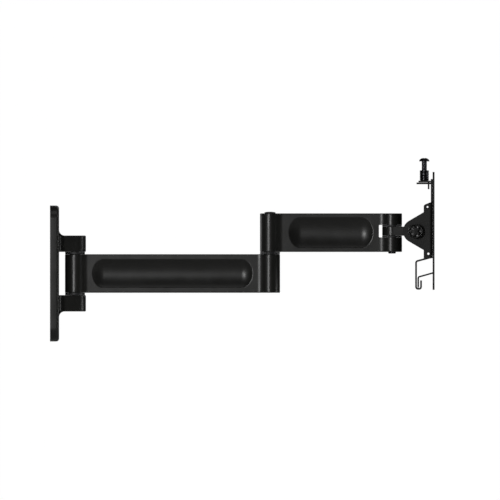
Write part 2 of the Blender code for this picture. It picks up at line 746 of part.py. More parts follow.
def build_outer_arm():
    """The arm on the elbow: its fork, its bush, the elbow cap, and the head pin with its nut."""
    arm = build_arm("outer_arm", ELBOW, OUTER_REACH, OUTER_TROUGH_START, OUTER_TROUGH_BORDER)
    past = ARM_HALF + PAST
    head = (OUTER_REACH, 0.0)
    slot_low, slot_high = HEAD_RISE - SLOT_HEIGHT / 2, HEAD_RISE + SLOT_HEIGHT / 2
    far = OUTER_REACH + 2 * BARREL_RADIUS
    wide = 2 * BARREL_RADIUS
    slot = box(
        "fork_slot", ELBOW, (OUTER_REACH - FORK_DEPTH, -wide, slot_low), (far, wide, slot_high)
    )
    seat_floor = -ARM_HALF + BUSH_LENGTH + REST_GAP
    pocket_floor = ARM_HALF - CAP_THICK - PIN_HEAD_HEIGHT - 2 * REST_GAP
    nut_floor = ARM_HALF - PIN_NUT_HEIGHT - 2 * REST_GAP
    at_elbow = [
        (ELBOW_CAP_RADIUS, pocket_floor),
        (PIN_RADIUS + REST_GAP, seat_floor),
        (BUSH_OUTER + PRESS_GAP, -past),
    ]
    at_head = [(PIN_NUT_ROOM, nut_floor), (HEAD_PIN_RADIUS + PRESS_GAP, -past)]
    cut(arm, stepped_bore("outer_arm_elbow_bore", ELBOW, past, at_elbow))
    cut(arm, stepped_bore("outer_arm_head_bore", ELBOW, past, at_head, head))
    cut(arm, slot)
    finish(arm, *BLACK_COAT)

    bush("elbow_bush_upper", ELBOW, ARM_HALF, ELBOW_FLANGE, -1)
    stem = ELBOW_CAP_RADIUS - REST_GAP
    base = ARM_HALF + RUN_GAP
    profile = [
        (0, base + CAP_THICK),
        (ELBOW_CAP_RADIUS - CAP_THICK / 2, base + CAP_THICK),
        (ELBOW_CAP_RADIUS - CAP_THICK / 8, base + CAP_THICK * 0.7),
        (ELBOW_CAP_RADIUS, base + CAP_THICK * 0.3),
        (ELBOW_CAP_RADIUS, base),
        (stem, base),
        (stem, ARM_HALF - CAP_THICK),
        (0, ARM_HALF - CAP_THICK),
    ]
    finish(turned("elbow_cap", ELBOW, profile), *BLACK_PLASTIC)


def build_head_pin():
    """The pin through the fork and the swivel block, with the nut at its top."""
    top = ARM_HALF - HEAD_RISE - REST_GAP
    bottom = -ARM_HALF - HEAD_RISE - HEAD_PIN_TAIL
    chamfer = HEAD_PIN_RADIUS * PIN_CHAMFER_SHARE
    profile = [
        (0, top),
        (HEAD_PIN_RADIUS - chamfer, top),
        (HEAD_PIN_RADIUS, top - chamfer),
        (HEAD_PIN_RADIUS, bottom + chamfer),
        (HEAD_PIN_RADIUS - chamfer, bottom),
        (0, bottom),
    ]
    finish(turned("head_pin", HEAD, profile), *BLACK_STEEL)
    nut = pin_nut("head_pin_nut", HEAD, HEAD_PIN_RADIUS + RUN_GAP, top)
    finish(nut, *BLACK_STEEL)


# ---- Swivel block ----------------------------------------------------------------------------------------


def build_swivel_block():
    """The block between fork and tilt bracket: an upright knuckle, a neck, and a level cross barrel."""
    half = KNUCKLE_HEIGHT / 2
    edge = BLOCK_EDGE
    profile = [
        (0, half),
        (KNUCKLE_RADIUS - edge, half),
        (KNUCKLE_RADIUS, half - edge),
        (KNUCKLE_RADIUS, edge - half),
        (KNUCKLE_RADIUS - edge, -half),
        (0, -half),
    ]
    block = turned("swivel_block", HEAD, profile)
    neck = box(
        "swivel_neck",
        HEAD,
        (0, -NECK_WIDTH / 2, SHAVE - half),
        (TILT_OUT, NECK_WIDTH / 2, half - SHAVE),
    )
    reach = CROSS_WIDTH / 2
    profile = [
        (0, reach),
        (CROSS_RADIUS - edge, reach),
        (CROSS_RADIUS, reach - edge),
        (CROSS_RADIUS, edge - reach),
        (CROSS_RADIUS - edge, -reach),
        (0, -reach),
    ]
    barrel = lay_along_y(turned("cross_barrel", TILT, profile))
    fuse(block, neck, barrel)
    cut(block, rod("knuckle_bore", HEAD, HEAD_PIN_RADIUS + RUN_GAP, -2 * half, 2 * half))
    bore = rod("cross_bore", TILT, TILT_BOLT_RADIUS + RUN_GAP, -2 * reach, 2 * reach)
    cut(block, lay_along_y(bore))
    finish(block, *BLACK_COAT)
    for sign, word in ((1, "upper"), (-1, "lower")):
        ends = sorted((sign * (half + RUN_GAP), sign * (half + RUN_GAP + HEAD_WASHER)))
        washer = ring("head_washer_" + word, HEAD, HEAD_PIN_RADIUS + RUN_GAP, KNUCKLE_RADIUS, *ends)
        finish(washer, *BUSH_NYLON)


# ---- Tilt bracket ----------------------------------------------------------------------------------------


def strut_z(x):
    """The height of the strap's slanted stretch, at a distance from the tilt axis."""
    return LEG_TOP + (x - LEG_X) * math.tan(STRAP_SLOPE)


def cheek_outline():
    """The side view of the bracket: a round nose about the bolt, slanted edges, and the tall web."""
    back = CHEEK_BACK
    shoulder = CHEEK_SHOULDER
    upper = tangent_angle((0, 0), NOSE_RADIUS, (back, shoulder), -1)
    nose = arc((0, 0), NOSE_RADIUS, upper, 360 - upper)
    crown = arc((back + CHEEK_CORNER, CHEEK_TOP - CHEEK_CORNER), CHEEK_CORNER, 180, 110)
    crown = crown[::-1]
    top = [(WEB_FRONT, WEB_TOP), (WEB_BACK, WEB_TOP), (WEB_BACK, CHEEK_TOP + CROWN_RISE)]
    foot = strut_z(back) - STRAP_SHEET / 2
    bottom = [(back, -shoulder), (back, foot), (WEB_FRONT, strut_z(WEB_FRONT) - STRAP_SHEET / 2)]
    return top + crown + [(back, shoulder)] + nose + bottom


def channel_outline():
    """The plan of the bracket: a web and two cheeks bent from one sheet."""
    inner = BEND_RADIUS - BRACKET_SHEET
    tip = -NOSE_RADIUS - PAST
    outside = [(tip, CHEEK_OUTER)]
    outside += arc((WEB_FRONT - BEND_RADIUS, CHEEK_OUTER - BEND_RADIUS), BEND_RADIUS, 90, 0)
    inside = arc((WEB_BACK - inner, CHEEK_INNER - inner), inner, 0, 90) + [(tip, CHEEK_INNER)]
    lower_outside = [(x, -y) for x, y in reversed(outside)]
    lower_inside = [(x, -y) for x, y in reversed(inside)]
    return outside + lower_outside + lower_inside + inside


def build_tilt_bracket():
    """One bent sheet: web, cheeks, top flange, and the strap that ends in the hook under the screen plate."""
    low, high = HOOK_BOTTOM, WEB_TOP
    bracket = slab(
        "tilt_bracket", TILT, [channel_outline()], high - low + 2 * PAST, "XY", (0, 0, (low + high) / 2)
    )
    boolean(bracket, slab("cheek_shape", TILT, [cheek_outline()], 4 * CHEEK_OUTER, "XZ"), "INTERSECT")
    sheet = BRACKET_SHEET
    flange = box(
        "top_flange",
        TILT,
        (FLANGE_TIP, FLANGE_INSET - CHEEK_INNER, FLANGE_TOP - sheet),
        (WEB_BACK + sheet / 2, CHEEK_INNER - FLANGE_INSET, FLANGE_TOP),
    )
    leg_foot = HOOK_BOTTOM + STRAP_SHEET / 2
    path = [
        (WEB_BACK + sheet / 2, strut_z(WEB_BACK + sheet / 2)),
        (LEG_X, LEG_TOP),
        (LEG_X, leg_foot),
        (HOOK_RETURN_X, leg_foot),
        (HOOK_RETURN_X, leg_foot + HOOK_LIP),
    ]
    strap = slab("hook_strap", TILT, [ribbon(path, STRAP_SHEET, STRAP_BEND)], STRAP_WIDTH, "XZ")
    fuse(bracket, flange, strap)
    hole = rod("cheek_bore", TILT, TILT_BOLT_RADIUS + RUN_GAP, -2 * CHEEK_OUTER, 2 * CHEEK_OUTER)
    cut(bracket, lay_along_y(hole))
    pips = [circle((x, z), radius) for x, z, radius in (UPPER_PIP, LOWER_PIP)]
    cut(bracket, slab("cheek_pips", TILT, pips, 4 * CHEEK_OUTER, "XZ"))
    window_half = TAB_WIDTH / 2 + REST_GAP
    window = box(
        "tab_window",
        TILT,
        (WEB_BACK - SHAVE, -window_half, FLANGE_TOP),
        (WEB_FRONT + PAST, window_half, TAB_TOP + REST_GAP),
    )
    lip_half = TAB_SHEET / 2 + REST_GAP
    lip_slot = box(
        "lip_slot",
        TILT,
        (TAB_LIP_X - lip_half, -TAB_LIP_WIDTH / 2 - REST_GAP, FLANGE_TOP - 2 * sheet),
        (TAB_LIP_X + lip_half, TAB_LIP_WIDTH / 2 + REST_GAP, FLANGE_TOP + sheet),
    )
    threads = [circle((SCREW_X, side * SCREW_SPACING / 2), SCREW_RADIUS + RUN_GAP) for side in (-1, 1)]
    thread_holes = slab("thread_holes", TILT, threads, 4 * sheet, "XY", (0, 0, FLANGE_TOP))
    cut(bracket, window, lip_slot, thread_holes, web_notches("web_notches", CHEEK_OUTER, WEB_BACK))
    finish(bracket, *BLACK_SHEET)


def web_notches(name, half_width, back):
    """A small notch in each side edge of a sheet, at one height."""
    outlines = []
    for side in (-1, 1):
        middle = (side * half_width, NOTCH_Z)
        outlines.append(rounded_box(2 * NOTCH_DEPTH, NOTCH_HEIGHT, NOTCH_CORNER, middle))
    return slab(name, TILT, outlines, 4 * BRACKET_SHEET, "YZ", (back, 0, 0))


# ---- Screen plate ----------------------------------------------------------------------------------------


def screen_outline():
    """The plate's outline, with an open notch top and bottom where its tab and tongue are bent out."""
    half = SCREEN_SIZE / 2
    corner = half - SCREEN_CORNER
    low, high = SCREEN_RISE - half, SCREEN_RISE + half
    tab = TAB_WIDTH / 2 + REST_GAP
    tongue = STRAP_WIDTH / 2 + REST_GAP
    tab_floor = TAB_TOP - TAB_SHEET / 2
    points = arc((corner, high - SCREEN_CORNER), SCREEN_CORNER, 0, 90)
    points += [(tab, high), (tab, tab_floor), (-tab, tab_floor), (-tab, high)]
    points += arc((-corner, high - SCREEN_CORNER), SCREEN_CORNER, 90, 180)
    points += arc((-corner, low + SCREEN_CORNER), SCREEN_CORNER, 180, 270)
    points += [(-tongue, low), (-tongue, TONGUE_ROOT), (tongue, TONGUE_ROOT), (tongue, low)]
    return points + arc((corner, low + SCREEN_CORNER), SCREEN_CORNER, 270, 360)


def build_screen_plate():
    """The plate that bolts to the screen, with its top tab, the tab's lip, and the tongue at its foot."""
    holes = []
    for pitch in VESA_PITCHES:
        for y in (-pitch / 2, pitch / 2):
            for z in (-pitch / 2, pitch / 2):
                holes.append(circle((y, z + SCREEN_RISE), VESA_HOLE_RADIUS))
    windows = [
        rounded_box(WINDOW_WIDTH, WINDOW_HEIGHT, WINDOW_WIDTH / 3, (side * WINDOW_OUT, SCREEN_RISE))
        for side in (-1, 1)
    ]
    middle = (SCREEN_BACK + SCREEN_FRONT) / 2
    outlines = [screen_outline()] + holes + windows
    plate = slab("screen_plate", TILT, outlines, SCREEN_SHEET, "YZ", (middle, 0, 0))
    tab_z = (TAB_BOTTOM + TAB_TOP) / 2
    tab = box("tab", TILT, (TAB_TIP, -TAB_WIDTH / 2, TAB_BOTTOM), (middle, TAB_WIDTH / 2, TAB_TOP))
    lip_half = TAB_SHEET / 2
    lip = box(
        "tab_lip",
        TILT,
        (TAB_LIP_X - lip_half, -TAB_LIP_WIDTH / 2, TAB_LIP_BOTTOM),
        (TAB_LIP_X + lip_half, TAB_LIP_WIDTH / 2, tab_z),
    )
    path = [(middle, TONGUE_ROOT), (TONGUE_X, TONGUE_KNEE), (TONGUE_X, TONGUE_BOTTOM)]
    tongue = slab("tongue", TILT, [ribbon(path, TAB_SHEET, TONGUE_BEND)], STRAP_WIDTH - 4 * REST_GAP, "XZ")
    fuse(plate, tab, lip, tongue)
    seats = [circle((SCREW_X, side * SCREW_SPACING / 2), COLLAR_STEM + PRESS_GAP) for side in (-1, 1)]
    cut(plate, slab("collar_seats", TILT, seats, 3 * TAB_SHEET, "XY", (0, 0, tab_z)))
    cut(plate, web_notches("screen_notches", SCREEN_SIZE / 2, SCREEN_BACK))
    finish(plate, *BLACK_SHEET)


def build_lock_screws():
    """Two captive screws, raised clear of the flange, in collars that stand on the tab."""
    for side, word in ((-1, "left"), (1, "right")):
        place = (SCREW_X, side * SCREW_SPACING / 2, TAB_TOP)
        inner = SCREW_RADIUS + RUN_GAP
        edge = SMALL_EDGE
        profile = [
            (inner, RUN_GAP + COLLAR_HEIGHT),
            (COLLAR_RADIUS - edge, RUN_GAP + COLLAR_HEIGHT),
            (COLLAR_RADIUS, RUN_GAP + COLLAR_HEIGHT - edge),
            (COLLAR_RADIUS, RUN_GAP),
            (COLLAR_STEM, RUN_GAP),
            (COLLAR_STEM, -TAB_SHEET),
            (inner, -TAB_SHEET),
        ]
        collar = turned("screw_collar_" + word, TILT, profile, closed=True)
        collar.location = place
        finish(collar, *BLACK_STEEL)

        under = COLLAR_HEIGHT + RUN_GAP + SCREW_TRAVEL + REST_GAP
        top = under + SCREW_HEAD_HEIGHT
        dome = [
            (SCREW_HEAD_RADIUS * math.sin(a), under + SCREW_HEAD_HEIGHT * math.cos(a))
            for a in (math.radians(d) for d in (18, 36, 54, 72))
        ]
        profile = [(0, top)] + dome + [
            (SCREW_HEAD_RADIUS, under + edge),
            (SCREW_HEAD_RADIUS - edge, under),
            (SCREW_RADIUS, under),
            (SCREW_RADIUS, edge),
            (SCREW_RADIUS - edge, 0),
            (0, 0),
        ]
        screw = turned("lock_screw_" + word, TILT, profile)
        screw.location = place
        for way, long, broad in (("x", RECESS_REACH, RECESS_HALF), ("y", RECESS_HALF, RECESS_REACH)):
            recess = box(
                f"recess_{word}_{way}",
                screw,
                (-long, -broad, top - RECESS_DEPTH),
                (long, broad, top + PAST),
            )
            cut(screw, recess)
        finish(screw, *BLACK_STEEL)


# ---- Tilt bolt and knob ----------------------------------------------------------------------------------


def build_tilt_bolt():
    """The level bolt through cheeks and block, with its washers."""
    knob_face = CHEEK_OUTER + KNOB_WASHER + 2 * RUN_GAP
    tip = knob_face + RUN_GAP + KNOB_NUT_HEIGHT
    head_radius = TILT_BOLT_RADIUS * 2
    bolt = headed_pin(
        "tilt_bolt",
        TILT,
        TILT_BOLT_RADIUS,
        CHEEK_OUTER + RUN_GAP + BOLT_HEAD_HEIGHT,
        -tip,
        head_radius,
        BOLT_HEAD_HEIGHT,
    )
    lay_along_y(bolt, towards_viewer=False)
    lay_along_y(bpy.data.objects["tilt_bolt_socket"], towards_viewer=False)
    inner = TILT_BOLT_RADIUS + RUN_GAP
    start = CROSS_WIDTH / 2 + RUN_GAP
    for towards, word in ((True, "left"), (False, "right")):
        washer = ring(
            "friction_washer_" + word, TILT, inner, CROSS_RADIUS - SMALL_EDGE, start, start + FRICTION_WASHER
        )
        finish(lay_along_y(washer, towards), *BUSH_NYLON)
    start = CHEEK_OUTER + RUN_GAP
    washer = ring("knob_washer", TILT, inner, KNOB_RADIUS - BLOCK_EDGE, start, start + KNOB_WASHER)
    finish(lay_along_y(washer), *BLACK_STEEL)


def build_knob():
    """The hand knob: a ring round a dished face with star lobes, moulded over a hexagon nut."""
    face = CHEEK_OUTER + KNOB_WASHER + 2 * RUN_GAP
    front = face + KNOB_LENGTH
    rim = KNOB_RADIUS - KNOB_RIM
    edge = SMALL_EDGE
    profile = [
        (0, front - KNOB_DISH),
        (rim, front - KNOB_DISH),
        (rim, front),
        (KNOB_RADIUS - edge, front),
        (KNOB_RADIUS, front - edge),
        (KNOB_RADIUS, face + edge),
        (KNOB_RADIUS - edge, face),
        (0, face),
    ]
    knob = lay_along_y(turned("tilt_knob", TILT, profile))
    hub = rim * HUB_SHARE
    lobe = rim * LOBE_SHARE
    reach = rim * LOBE_OUT_SHARE
    lobes = rod("knob_hub", TILT, hub, front - KNOB_DISH - edge, front - edge)
    fuse(knob, lay_along_y(lobes))
    for i in range(KNOB_LOBES):
        turn = 2 * math.pi * (i + 0.5) / KNOB_LOBES
        across = math.cos(turn) * reach, math.sin(turn) * reach
        finger = rod(f"knob_lobe_{i + 1}", TILT, lobe, front - KNOB_DISH - edge, front - edge)
        finger.location = (across[0], 0, across[1])
        fuse(knob, lay_along_y(finger))
    pocket_depth = KNOB_NUT_HEIGHT + 2 * REST_GAP
    pocket = slab(
        "knob_pocket", TILT, [hexagon(KNOB_NUT_FLATS + 2 * PRESS_GAP)], 2 * pocket_depth, "XY", (0, 0, face)
    )
    cut(knob, lay_along_y(pocket))
    finish(knob, *BLACK_PLASTIC)
    top = face + RUN_GAP + KNOB_NUT_HEIGHT
    nut = pin_nut("knob_nut", TILT, TILT_BOLT_RADIUS + RUN_GAP, top, KNOB_NUT_FLATS, KNOB_NUT_HEIGHT)
    finish(lay_along_y(nut), *BLACK_STEEL)


# ---- The whole mount -------------------------------------------------------------------------------------

clear_scene()
PARTS = make_collection("full_motion_tv_wall_mount")
CUTTERS = make_collection("cutters")
WALL = make_pivot("wall_frame", None, (0, 0, 0))
WALL_PIVOT = make_pivot("wall_swivel_axis", WALL, (WALL_AXIS_OUT, 0, 0))
ELBOW = make_pivot("elbow_axis", WALL_PIVOT, (INNER_REACH, 0, OUTER_RISE))
HEAD = make_pivot("head_swivel_axis", ELBOW, (OUTER_REACH, 0, HEAD_RISE))
TILT = make_pivot("tilt_axis", HEAD, (TILT_OUT, 0, 0))

build_wall_plate()
build_wall_hinge()
build_inner_arm()
build_outer_arm()
build_head_pin()
build_swivel_block()
build_tilt_bracket()
build_screen_plate()
build_lock_screws()
build_tilt_bolt()
build_knob()
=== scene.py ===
"""The look of a full-motion wall mount: coated castings, folded sheet, turned steel and moulded plastic.

Each piece is rebuilt finer than the working solid it stands for, in the same place and at the same size.
Castings get their soft edges and scooped sides, sheet pieces are cut flat and then folded, and pins, bushes
and screws are turned from profiles. Units are metres. +X points away from the wall and +Z is up.
"""

import json
import logging
import math
from collections.abc import Callable, Sequence
from dataclasses import dataclass, field
from enum import Enum

import bmesh
import bpy
from mathutils import Matrix, Vector

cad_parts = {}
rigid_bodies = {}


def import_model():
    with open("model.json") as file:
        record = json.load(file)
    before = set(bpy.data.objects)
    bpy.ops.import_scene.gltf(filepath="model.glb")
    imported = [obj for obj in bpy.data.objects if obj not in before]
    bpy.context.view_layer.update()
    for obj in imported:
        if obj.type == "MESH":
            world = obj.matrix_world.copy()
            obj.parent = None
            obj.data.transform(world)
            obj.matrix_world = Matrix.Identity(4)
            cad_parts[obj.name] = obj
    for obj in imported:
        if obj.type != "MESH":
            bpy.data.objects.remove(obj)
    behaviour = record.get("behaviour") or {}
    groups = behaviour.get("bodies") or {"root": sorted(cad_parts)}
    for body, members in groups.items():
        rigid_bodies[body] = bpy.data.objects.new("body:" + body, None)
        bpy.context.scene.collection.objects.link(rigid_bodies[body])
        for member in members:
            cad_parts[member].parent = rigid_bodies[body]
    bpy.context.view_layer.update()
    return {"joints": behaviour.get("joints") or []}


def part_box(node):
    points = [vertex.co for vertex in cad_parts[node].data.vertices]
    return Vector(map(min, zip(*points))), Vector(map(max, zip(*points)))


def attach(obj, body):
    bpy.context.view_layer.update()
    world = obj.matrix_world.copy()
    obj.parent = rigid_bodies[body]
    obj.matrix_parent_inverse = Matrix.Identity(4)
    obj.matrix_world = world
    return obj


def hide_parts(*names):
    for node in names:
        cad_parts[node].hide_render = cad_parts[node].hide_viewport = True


log = logging.getLogger("wall_mount")

for leftover in list(bpy.data.objects):
    bpy.data.objects.remove(leftover, do_unlink=True)
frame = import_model()

Point = tuple[float, float]
Outline = list[Point]

MM = 0.001
CHORD = 0.004 * MM  # how far a facet may stand inside its true curve
LEAST_STEPS = 16  # facets in even the smallest full circle
SHARP = math.radians(38)  # edges bent more than this keep a crease
PAST = 1.0 * MM  # how far a cutter reaches past what it cuts
RUN_GAP = 0.15 * MM  # room round a shaft that turns
REST_GAP = 0.3 * MM  # room between pieces that rest on each other
STRAIGHT = math.radians(12)  # a corner that turns less than this is left as it is
BEND_STEP = math.radians(18)  # the turn between two points of a softened corner
THREAD_ROWS = 6  # rows of points in one turn of a thread
NUT_MOUTH = 0.4 * MM  # the countersink of a nut's hole


# ---- Flat outlines ---------------------------------------------------------------------------------------


def round_steps(radius: float) -> int:
    """How many facets a full circle gets.

    Args:
        radius: The circle's radius.

    Returns:
        A multiple of four that keeps every facet within CHORD of the true circle.
    """
    step = 2 * math.acos(max(0.0, 1 - CHORD / radius))
    return max(LEAST_STEPS, 4 * math.ceil(math.pi / 2 / step))


def arc(centre: Point, radius: float, start: float, end: float) -> Outline:
    """Points along an arc, both ends included.

    Args:
        centre: The arc's centre.
        radius: The arc's radius.
        start: The first point's angle, in degrees.
        end: The last point's angle, in degrees.

    Returns:
        The points, from start to end.
    """
    first, last = math.radians(start), math.radians(end)
    steps = max(2, math.ceil(abs(last - first) * round_steps(radius) / (2 * math.pi)))
    angles = [first + (last - first) * i / steps for i in range(steps + 1)]
    return [(centre[0] + radius * math.cos(a), centre[1] + radius * math.sin(a)) for a in angles]


def circle(centre: Point, radius: float) -> Outline:
    """Points round a full circle."""
    return arc(centre, radius, 0, 360)[:-1]


def hexagon(flats: float) -> Outline:
    """The corners of a hexagon of a given width across its flats."""
    corner = flats / 2 / math.cos(math.pi / 6)
    return [(corner * math.cos(i * math.pi / 3), corner * math.sin(i * math.pi / 3)) for i in range(6)]


def softened(points: Sequence[Point], radius: float, closed: bool = True) -> Outline:
    """Turns the corners of an outline into arcs.

    Args:
        points: The outline's corners, in order.
        radius: The radius wanted at each corner, cut down where the sides are too short for it.
        closed: Whether the last point joins the first.

    Returns:
        The outline with round corners. An open one keeps its two ends.
    """
    count = len(points)
    result: Outline = []
    for i, corner in enumerate(points):
        if not closed and i in (0, count - 1):
            result.append(corner)
            continue
        before, after = Vector(points[i - 1]), Vector(points[(i + 1) % count])
        here = Vector(corner)
        back, ahead = before - here, after - here
        turn = back.angle_signed(ahead, 0.0)
        if abs(abs(turn) - math.pi) < STRAIGHT:
            result.append(corner)
            continue
        trim = min(radius / math.tan(abs(turn) / 2), 0.45 * back.length, 0.45 * ahead.length)
        reach = trim * math.tan(abs(turn) / 2)
        start, end = here + back.normalized() * trim, here + ahead.normalized() * trim
        steps = max(2, round((math.pi - abs(turn)) / BEND_STEP))
        middle = here + (back.normalized() + ahead.normalized()).normalized() * math.hypot(trim, reach)
        first, last = start - middle, end - middle
        sweep = first.angle_signed(last, 0.0)
        angle = math.atan2(first.y, first.x)
        for k in range(steps + 1):
            at = angle - sweep * k / steps
            result.append((middle.x + reach * math.cos(at), middle.y + reach * math.sin(at)))
    return result


def block(width: float, height: float, centre: Point = (0.0, 0.0)) -> Outline:
    """The four corners of a rectangle, counter-clockwise from the lower left."""
    x, y = width / 2, height / 2
    return [(centre[0] + a * x, centre[1] + b * y) for a, b in ((-1, -1), (1, -1), (1, 1), (-1, 1))]


def tangent_angle(centre: Point, radius: float, point: Point, side: int) -> float:
    """Where a line from a point touches a circle.

    Args:
        centre: The circle's centre.
        radius: The circle's radius.
        point: A point outside the circle.
        side: 1 or -1, for one tangent or the other.

    Returns:
        The angle of the touching point about the centre, in degrees.
    """
    away = (point[0] - centre[0], point[1] - centre[1])
    lean = math.acos(radius / math.hypot(*away))
    return math.degrees(math.atan2(away[1], away[0]) - side * lean)


# ---- Meshes ----------------------------------------------------------------------------------------------


class Lay(Enum):
    """How a shape made flat on XY, or upright on Z, is laid in the mount."""

    LEVEL = "level"
    SIDE = "side"
    FRONT = "front"
    FAR_SIDE = "far side"
    UPSIDE_DOWN = "upside down"

    def turn(self) -> Matrix:
        """The turn that lays the shape.

        Returns:
            The turn, about the origin.
        """
        quarter = math.pi / 2
        return {
            Lay.LEVEL: Matrix.Identity(4),
            Lay.SIDE: Matrix.Rotation(quarter, 4, "X"),
            Lay.FRONT: Matrix(((0, 0, 1, 0), (1, 0, 0, 0), (0, 1, 0, 0), (0, 0, 0, 1))),
            Lay.FAR_SIDE: Matrix.Rotation(-quarter, 4, "X"),
            Lay.UPSIDE_DOWN: Matrix.Rotation(math.pi, 4, "X"),
        }[self]


def laid(mesh: bpy.types.Mesh, lay: Lay, place: Sequence[float] = (0.0, 0.0, 0.0)) -> bpy.types.Mesh:
    """Turns a mesh and moves it to its place, and returns it."""
    mesh.transform(Matrix.Translation(place) @ lay.turn())
    return mesh


def evaluated_mesh(obj: bpy.types.Object) -> bpy.types.Mesh:
    """The mesh that an object's curve or modifiers make, after which the object is removed.

    Args:
        obj: An object that is only needed for this.

    Returns:
        A plain mesh of its own.
    """
    bpy.context.scene.collection.objects.link(obj)
    graph = bpy.context.evaluated_depsgraph_get()
    mesh = bpy.data.meshes.new_from_object(obj.evaluated_get(graph), depsgraph=graph)
    bpy.data.objects.remove(obj)
    return mesh


def tidied(mesh: bpy.types.Mesh, merge: float = 1e-7) -> bpy.types.Mesh:
    """Merges a mesh's doubles and turns its faces outwards, and returns it.

    Args:
        mesh: The mesh.
        merge: How close two points are that become one.

    Returns:
        The same mesh.
    """
    edit = bmesh.new()
    edit.from_mesh(mesh)
    bmesh.ops.remove_doubles(edit, verts=edit.verts, dist=merge)
    bmesh.ops.recalc_face_normals(edit, faces=edit.faces)
    edit.to_mesh(mesh)
    edit.free()
    return mesh


def cut_flat(outlines: Sequence[Outline], thickness: float, edge: float = 0.0) -> bpy.types.Mesh:
    """A flat piece, cut to an outline with its holes and with its edges rounded.

    Args:
        outlines: The outer outline first, and then any holes.
        thickness: How thick the piece is, centred on the XY plane.
        edge: The radius of its edges.

    Returns:
        A closed mesh.
    """
    curve = bpy.data.curves.new("outline", "CURVE")
    curve.dimensions = "2D"
    curve.fill_mode = "BOTH"
    curve.extrude = thickness / 2 - edge
    curve.bevel_depth = edge
    curve.bevel_resolution = 2
    curve.offset = -edge
    for outline in outlines:
        spline = curve.splines.new("POLY")
        spline.points.add(len(outline) - 1)
        for point, (u, v) in zip(spline.points, outline):
            point.co = (u, v, 0.0, 1.0)
        spline.use_cyclic_u = True
    return tidied(evaluated_mesh(bpy.data.objects.new("outline", curve)))


def turned(profile: Outline, closed: bool = False, rows: float = 0.0) -> bpy.types.Mesh:
    """A shape turned about Z.

    Args:
        profile: Points (radius, height) down its outer side. Both ends of an open one lie on the axis.
        closed: Whether the profile is a loop, which makes a ring.
        rows: If set, long stretches of the profile get a point at least this often.

    Returns:
        A closed mesh.
    """
    points = profile if not rows else subdivided(profile, rows)
    edit = bmesh.new()
    verts = [edit.verts.new((r, 0.0, z)) for r, z in points]
    pairs = list(zip(verts, verts[1:])) + ([(verts[-1], verts[0])] if closed else [])
    edges = [edit.edges.new(pair) for pair in pairs]
    steps = round_steps(max(r for r, _ in points))
    bmesh.ops.spin(edit, geom=verts + edges, axis=(0, 0, 1), cent=(0, 0, 0), angle=2 * math.pi, steps=steps)
    bmesh.ops.remove_doubles(edit, verts=edit.verts, dist=1e-6)
    bmesh.ops.recalc_face_normals(edit, faces=edit.faces)
    mesh = bpy.data.meshes.new("turned")
    edit.to_mesh(mesh)
    edit.free()
    return mesh


def subdivided(profile: Outline, spacing: float) -> Outline:
    """A profile with extra points on its upright stretches, no further apart than the spacing.

    Args:
        profile: The profile.
        spacing: The widest gap that may be left.

    Returns:
        The longer profile.
    """
    result = [profile[0]]
    for before, after in zip(profile, profile[1:]):
        gap = abs(after[1] - before[1]) if abs(after[0] - before[0]) < 1e-9 else 0.0
        for k in range(1, max(1, math.ceil(gap / spacing)) + 1):
            share = k / max(1, math.ceil(gap / spacing))
            result.append(tuple(a + (b - a) * share for a, b in zip(before, after)))
    return result


def stepped_bore(top: float, stretches: Sequence[Point]) -> bpy.types.Mesh:
    """The cutter for a bore that changes width.

    Args:
        top: The height that the bore starts from.
        stretches: Going down, each stretch's radius and the height where it ends.

    Returns:
        The cutter, about Z.
    """
    profile: Outline = [(0.0, top)]
    start = top
    for radius, end in stretches:
        profile += [(radius, start), (radius, end)]
        start = end
    return turned(profile + [(0.0, start)])


def carved(
    mesh: bpy.types.Mesh, less: Sequence[bpy.types.Mesh] = (), plus: Sequence[bpy.types.Mesh] = ()
) -> bpy.types.Mesh:
    """Joins shapes to a mesh, and then takes others away from it.

    Args:
        mesh: The mesh to start from.
        less: The shapes to take away.
        plus: The shapes to join first.

    Returns:
        The result as a new mesh.
    """
    base = bpy.data.objects.new("base", mesh)
    tools = []
    for operation, shapes in (("UNION", plus), ("DIFFERENCE", less)):
        for shape in shapes:
            tool = bpy.data.objects.new("tool", shape)
            bpy.context.scene.collection.objects.link(tool)
            tools.append(tool)
            modifier = base.modifiers.new("shape", "BOOLEAN")
            modifier.solver = "EXACT"
            modifier.operation = operation
            modifier.object = tool
    result = evaluated_mesh(base)
    for tool in tools:
        bpy.data.objects.remove(tool)
    return tidied(result)


def flat_shaded(mesh: bpy.types.Mesh) -> bpy.types.Mesh:
    """The mesh with normals that keep its wide faces flat and bend the light only over its small edges.

    Args:
        mesh: The mesh, which is used up.

    Returns:
        The new mesh, under the same name.
    """
    name = mesh.name
    mesh.name = name + "_plain"
    obj = bpy.data.objects.new("shading", mesh)
    modifier = obj.modifiers.new("shading", "WEIGHTED_NORMAL")
    modifier.keep_sharp = True
    result = evaluated_mesh(obj)
    result.name = name
    return result


# ---- Nodes -----------------------------------------------------------------------------------------------


def add(
    tree: bpy.types.NodeTree, kind: str, inputs: dict | None = None, **settings: object
) -> bpy.types.Node:
    """Adds a node with its settings and links.

    Args:
        tree: The node tree.
        kind: The node's type.
        inputs: For each input, by name or number, a value or the socket that feeds it.
        **settings: The node's own properties.

    Returns:
        The node.
    """
    node = tree.nodes.new(kind)
    for name, value in settings.items():
        setattr(node, name, value)
    for key, value in (inputs or {}).items():
        if isinstance(value, bpy.types.NodeSocket):
            tree.links.new(value, node.inputs[key])
        else:
            node.inputs[key].default_value = value
    return node


